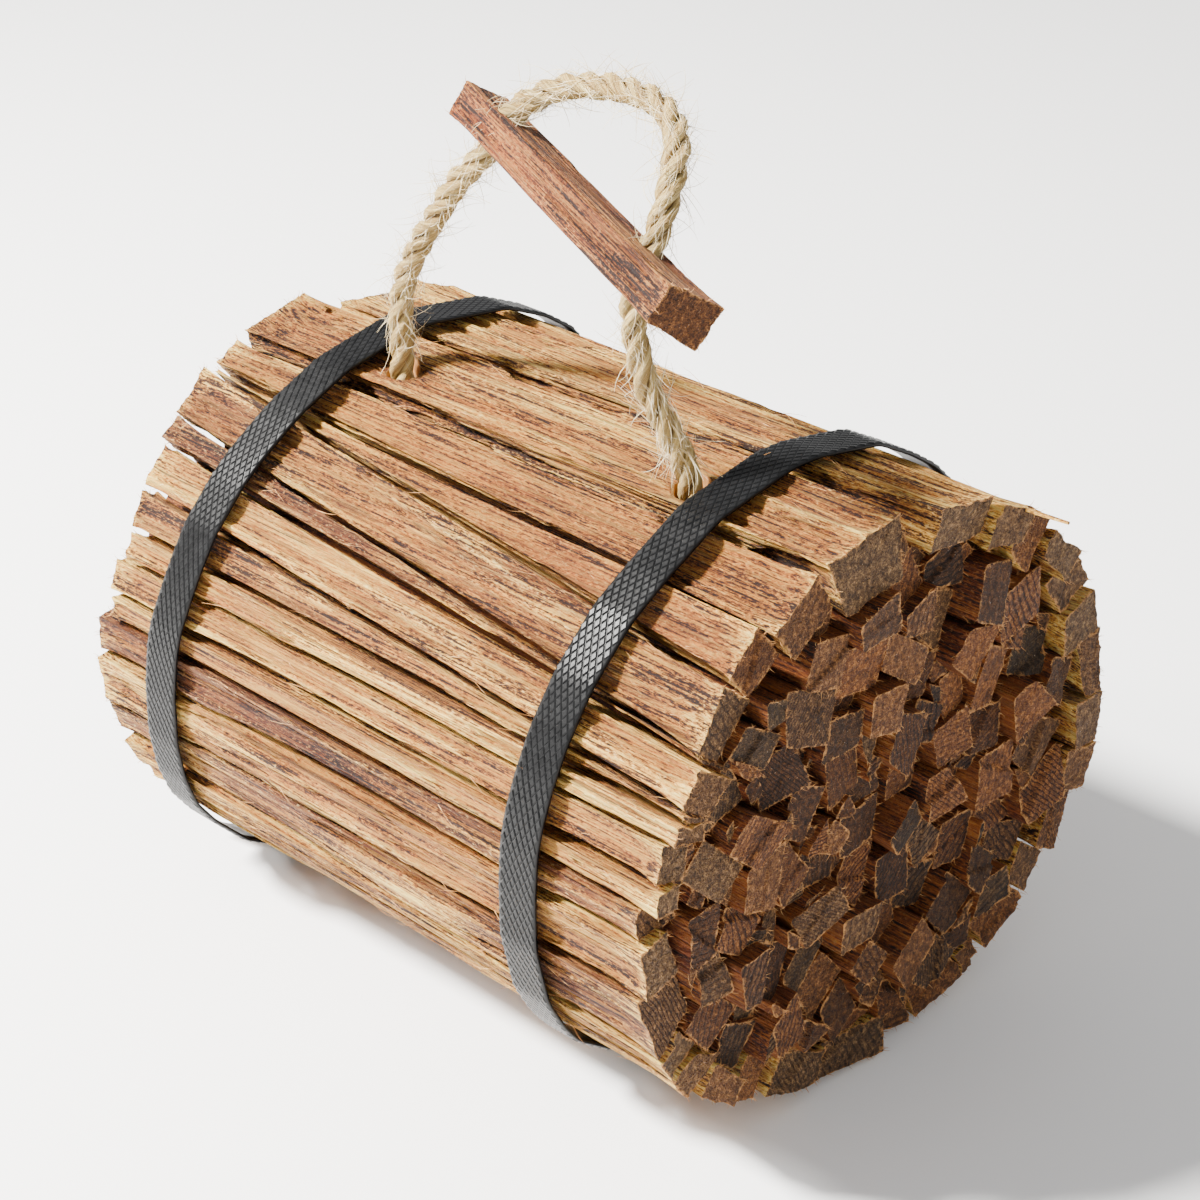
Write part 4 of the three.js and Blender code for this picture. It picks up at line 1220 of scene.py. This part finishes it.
def makeSideFibres(material):
    # Long hairs of wood that lie along the split sides.
    rng = np.random.default_rng(fibreSpec["sideSeed"])
    points = np.array(sidePoints)[rng.choice(len(sidePoints), fibreSpec["sideCount"])]
    sideways = points - np.array(bundleAxis)
    sideways[:, 0] = 0
    aims = unit(sideways) * rng.uniform(0.0, 0.35, (len(points), 1))
    aims += np.array([[1.0, 0, 0]]) * rng.choice((-1, 1), (len(points), 1))
    values = {**fibreSpec["side"], "Material": material}
    handOver(fibreTree.grownOn("split_side_fibres", points, {"aim": aims}, values), "split_wood")


outerSpec = {
    "seed": 300, "plankHole": 9.0 * mm, "plankTorn": 1.3,
    "splinterX": (78 * mm, 115.1 * mm), "splinterTone": (0.2, 0.5, 0, 0.6),
    "splinterRoot": np.array([(35.4, 144.4), (35.6, 146.5), (38.6, 146.1), (38.8, 144.2)]) * mm,
    "splinterTip": np.array([(36.1, 146.3), (36.2, 147.7), (37.8, 147.6), (38.0, 146.0)]) * mm,
    "tones": {  # the sticks that show most: lightness, redness, purple heartwood, strength of the streaks
        "rope_plank": (-0.15, 0.15, 0.15, 0.95), "outer_stick_top": (0.15, 0.15, 0.05, 0.6),
        "outer_stick_02": (0.0, 0.45, 0.1, 0.75), "outer_stick_03": (0.25, 0.55, 0.3, 0.5),
        "outer_stick_04": (0.1, 0.2, 0.35, 1.0), "outer_stick_05": (-0.2, 0.4, 0.8, 0.8),
        "outer_stick_06": (0.25, 0.3, 0.1, 0.6), "outer_stick_07": (0.1, 0.25, 0.25, 0.8),
        "outer_stick_08": (0.3, 0.25, 0.05, 0.5), "outer_stick_09": (0.35, 0.1, 0.0, 0.8),
        "outer_stick_10": (0.75, 0.0, 0.0, 0.7), "outer_stick_11": (-0.1, 0.3, 0.95, 0.6),
        "outer_stick_12": (0.15, 0.1, 0.15, 0.85), "outer_stick_13": (0.1, 0.3, 0.55, 0.9),
        "outer_stick_14": (0.05, 0.15, 0.1, 0.6),
    },
}


def makeOuterStick(order, stick, materials, ropePath):
    name, tones = stick["node"], outerSpec["tones"]
    rng = np.random.default_rng(outerSpec["seed"] + order)
    anyTone = (rng.uniform(-0.3, 0.5), rng.uniform(0, 0.6), rng.uniform(0, 0.6) ** 2, rng.uniform(0.35, 1))
    level = "top" if name in tones else "outer"
    character = characterOf(rng, tones.get(name, anyTone))
    if name == "rope_plank":
        character["torn"] = outerSpec["plankTorn"]
    shapes = [shapeStick(stick, rng, stickSpec[level + "Sample"], stickSpec[level + "Step"], character)]
    if name == "outer_stick_splintered":  # a thin strip has lifted off it and reaches past its end
        root, tip = (orderedSection(outerSpec[key]) for key in ("splinterRoot", "splinterTip"))
        splinter = {"sections": list(zip(outerSpec["splinterX"], (root, matchedTo(root, tip))))}
        character = characterOf(rng, outerSpec["splinterTone"])
        shapes.append(shapeStick(splinter, rng, 0.5 * mm, 1.5 * mm, character))
    thing = buildSticks(name + "_wood", shapes, materials)
    if name == "rope_plank":
        drill(thing, [(ropePath[end], (0, 0, 1)) for end in (0, -1)], outerSpec["plankHole"])
    handOver(thing, "split_wood", name)
    noteRims(shapes[0]["rims"])
    noteSide(shapes[0]["points"])


# The tint is painted shade: it darkens the sides of the inner sticks, seen in the gaps between the others.
innerSpec = {"seed": 700, "tint": (0.34, 0.185, 0.13), "contrast": 0.5, "innermostPieces": 8}


def makeInnerSticks(sticks, materials):
    innermost = []
    for order, stick in enumerate(sticks):
        rng = np.random.default_rng(innerSpec["seed"] + order)
        # The low lightness is partly painted shade between the sticks and partly a random tone for each; it
        # also darkens their sawn ends.
        tone = (rng.uniform(-1.2, -0.3), rng.uniform(0.1, 1), rng.uniform(0, 0.5), rng.uniform(0.4, 1))
        character = characterOf(rng, tone, stickSpec["innerCarve"])
        shape = shapeStick(stick, rng, stickSpec["innerSample"], stickSpec["innerStep"], character)
        noteRims(shape["rims"])
        if stick["node"]:
            handOver(buildSticks(stick["node"] + "_wood", [shape], materials), "split_wood", stick["node"])
        else:
            innermost.append(shape)
    size = math.ceil(len(innermost) / innerSpec["innermostPieces"])
    for number, first in enumerate(range(0, len(innermost), size), 1):
        group = buildSticks(f"innermost_sticks_{number}", innermost[first:first + size], materials)
        handOver(group, "split_wood", "inner_sticks")


makeCamera()
makeStudio()
print("camera and studio made")

fibreTree, diamondTree = makeFibreTree(), makeDiamondTree()
rope, ropePath, ropeReach, ropeFrames = makeRope()
whiskers = makeWhiskers(ropePath, ropeFrames)
print("rope made", round(float(ropeReach[-1]), 4))

outerNames = sorted(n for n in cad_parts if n.startswith("outer_stick") or n == "rope_plank")
innerNames = sorted(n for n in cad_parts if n.startswith("inner_stick_"))
outerSticks = [readStick(name) for name in outerNames]
innerSticks = [readStick(name) for name in innerNames] + readInnermost("inner_sticks")
slivers = fillOut(outerSticks, innerSticks)
print("bundle filled out", len(innerSticks), "inner sticks", len(slivers), "slivers")

sawnEnd = makeSawnEnd()
splitWood = makeSplitWood("splitWood", (1.0, 1.0, 1.0))
for order, stick in enumerate(outerSticks):
    makeOuterStick(order, stick, [splitWood, sawnEnd], ropePath)
print("outer sticks made", len(outerSticks))

# painted shade on the inner sticks' sides, through the dark tint
innerWood = makeSplitWood("innerWood", innerSpec["tint"], innerSpec["contrast"])
makeInnerSticks(innerSticks + slivers, [innerWood, sawnEnd])
print("inner sticks made", len(innerSticks) + len(slivers))

noteRims(*makeGrip([makeSplitWood("redWood", gripSpec["tint"]), sawnEnd], ropePath))
print("grip made")

tornFibre = makeFibre("tornFibre", 500, 0.6, fibreSpec["wood"], 0.7)
makeRimFibres(tornFibre)
makeSideFibres(tornFibre)
print("torn fibres made")

strapPlastic = makeStrapPlastic()
for name in ("strap_front", "strap_back"):
    makeStrap(name, strapPlastic)
print("straps made")
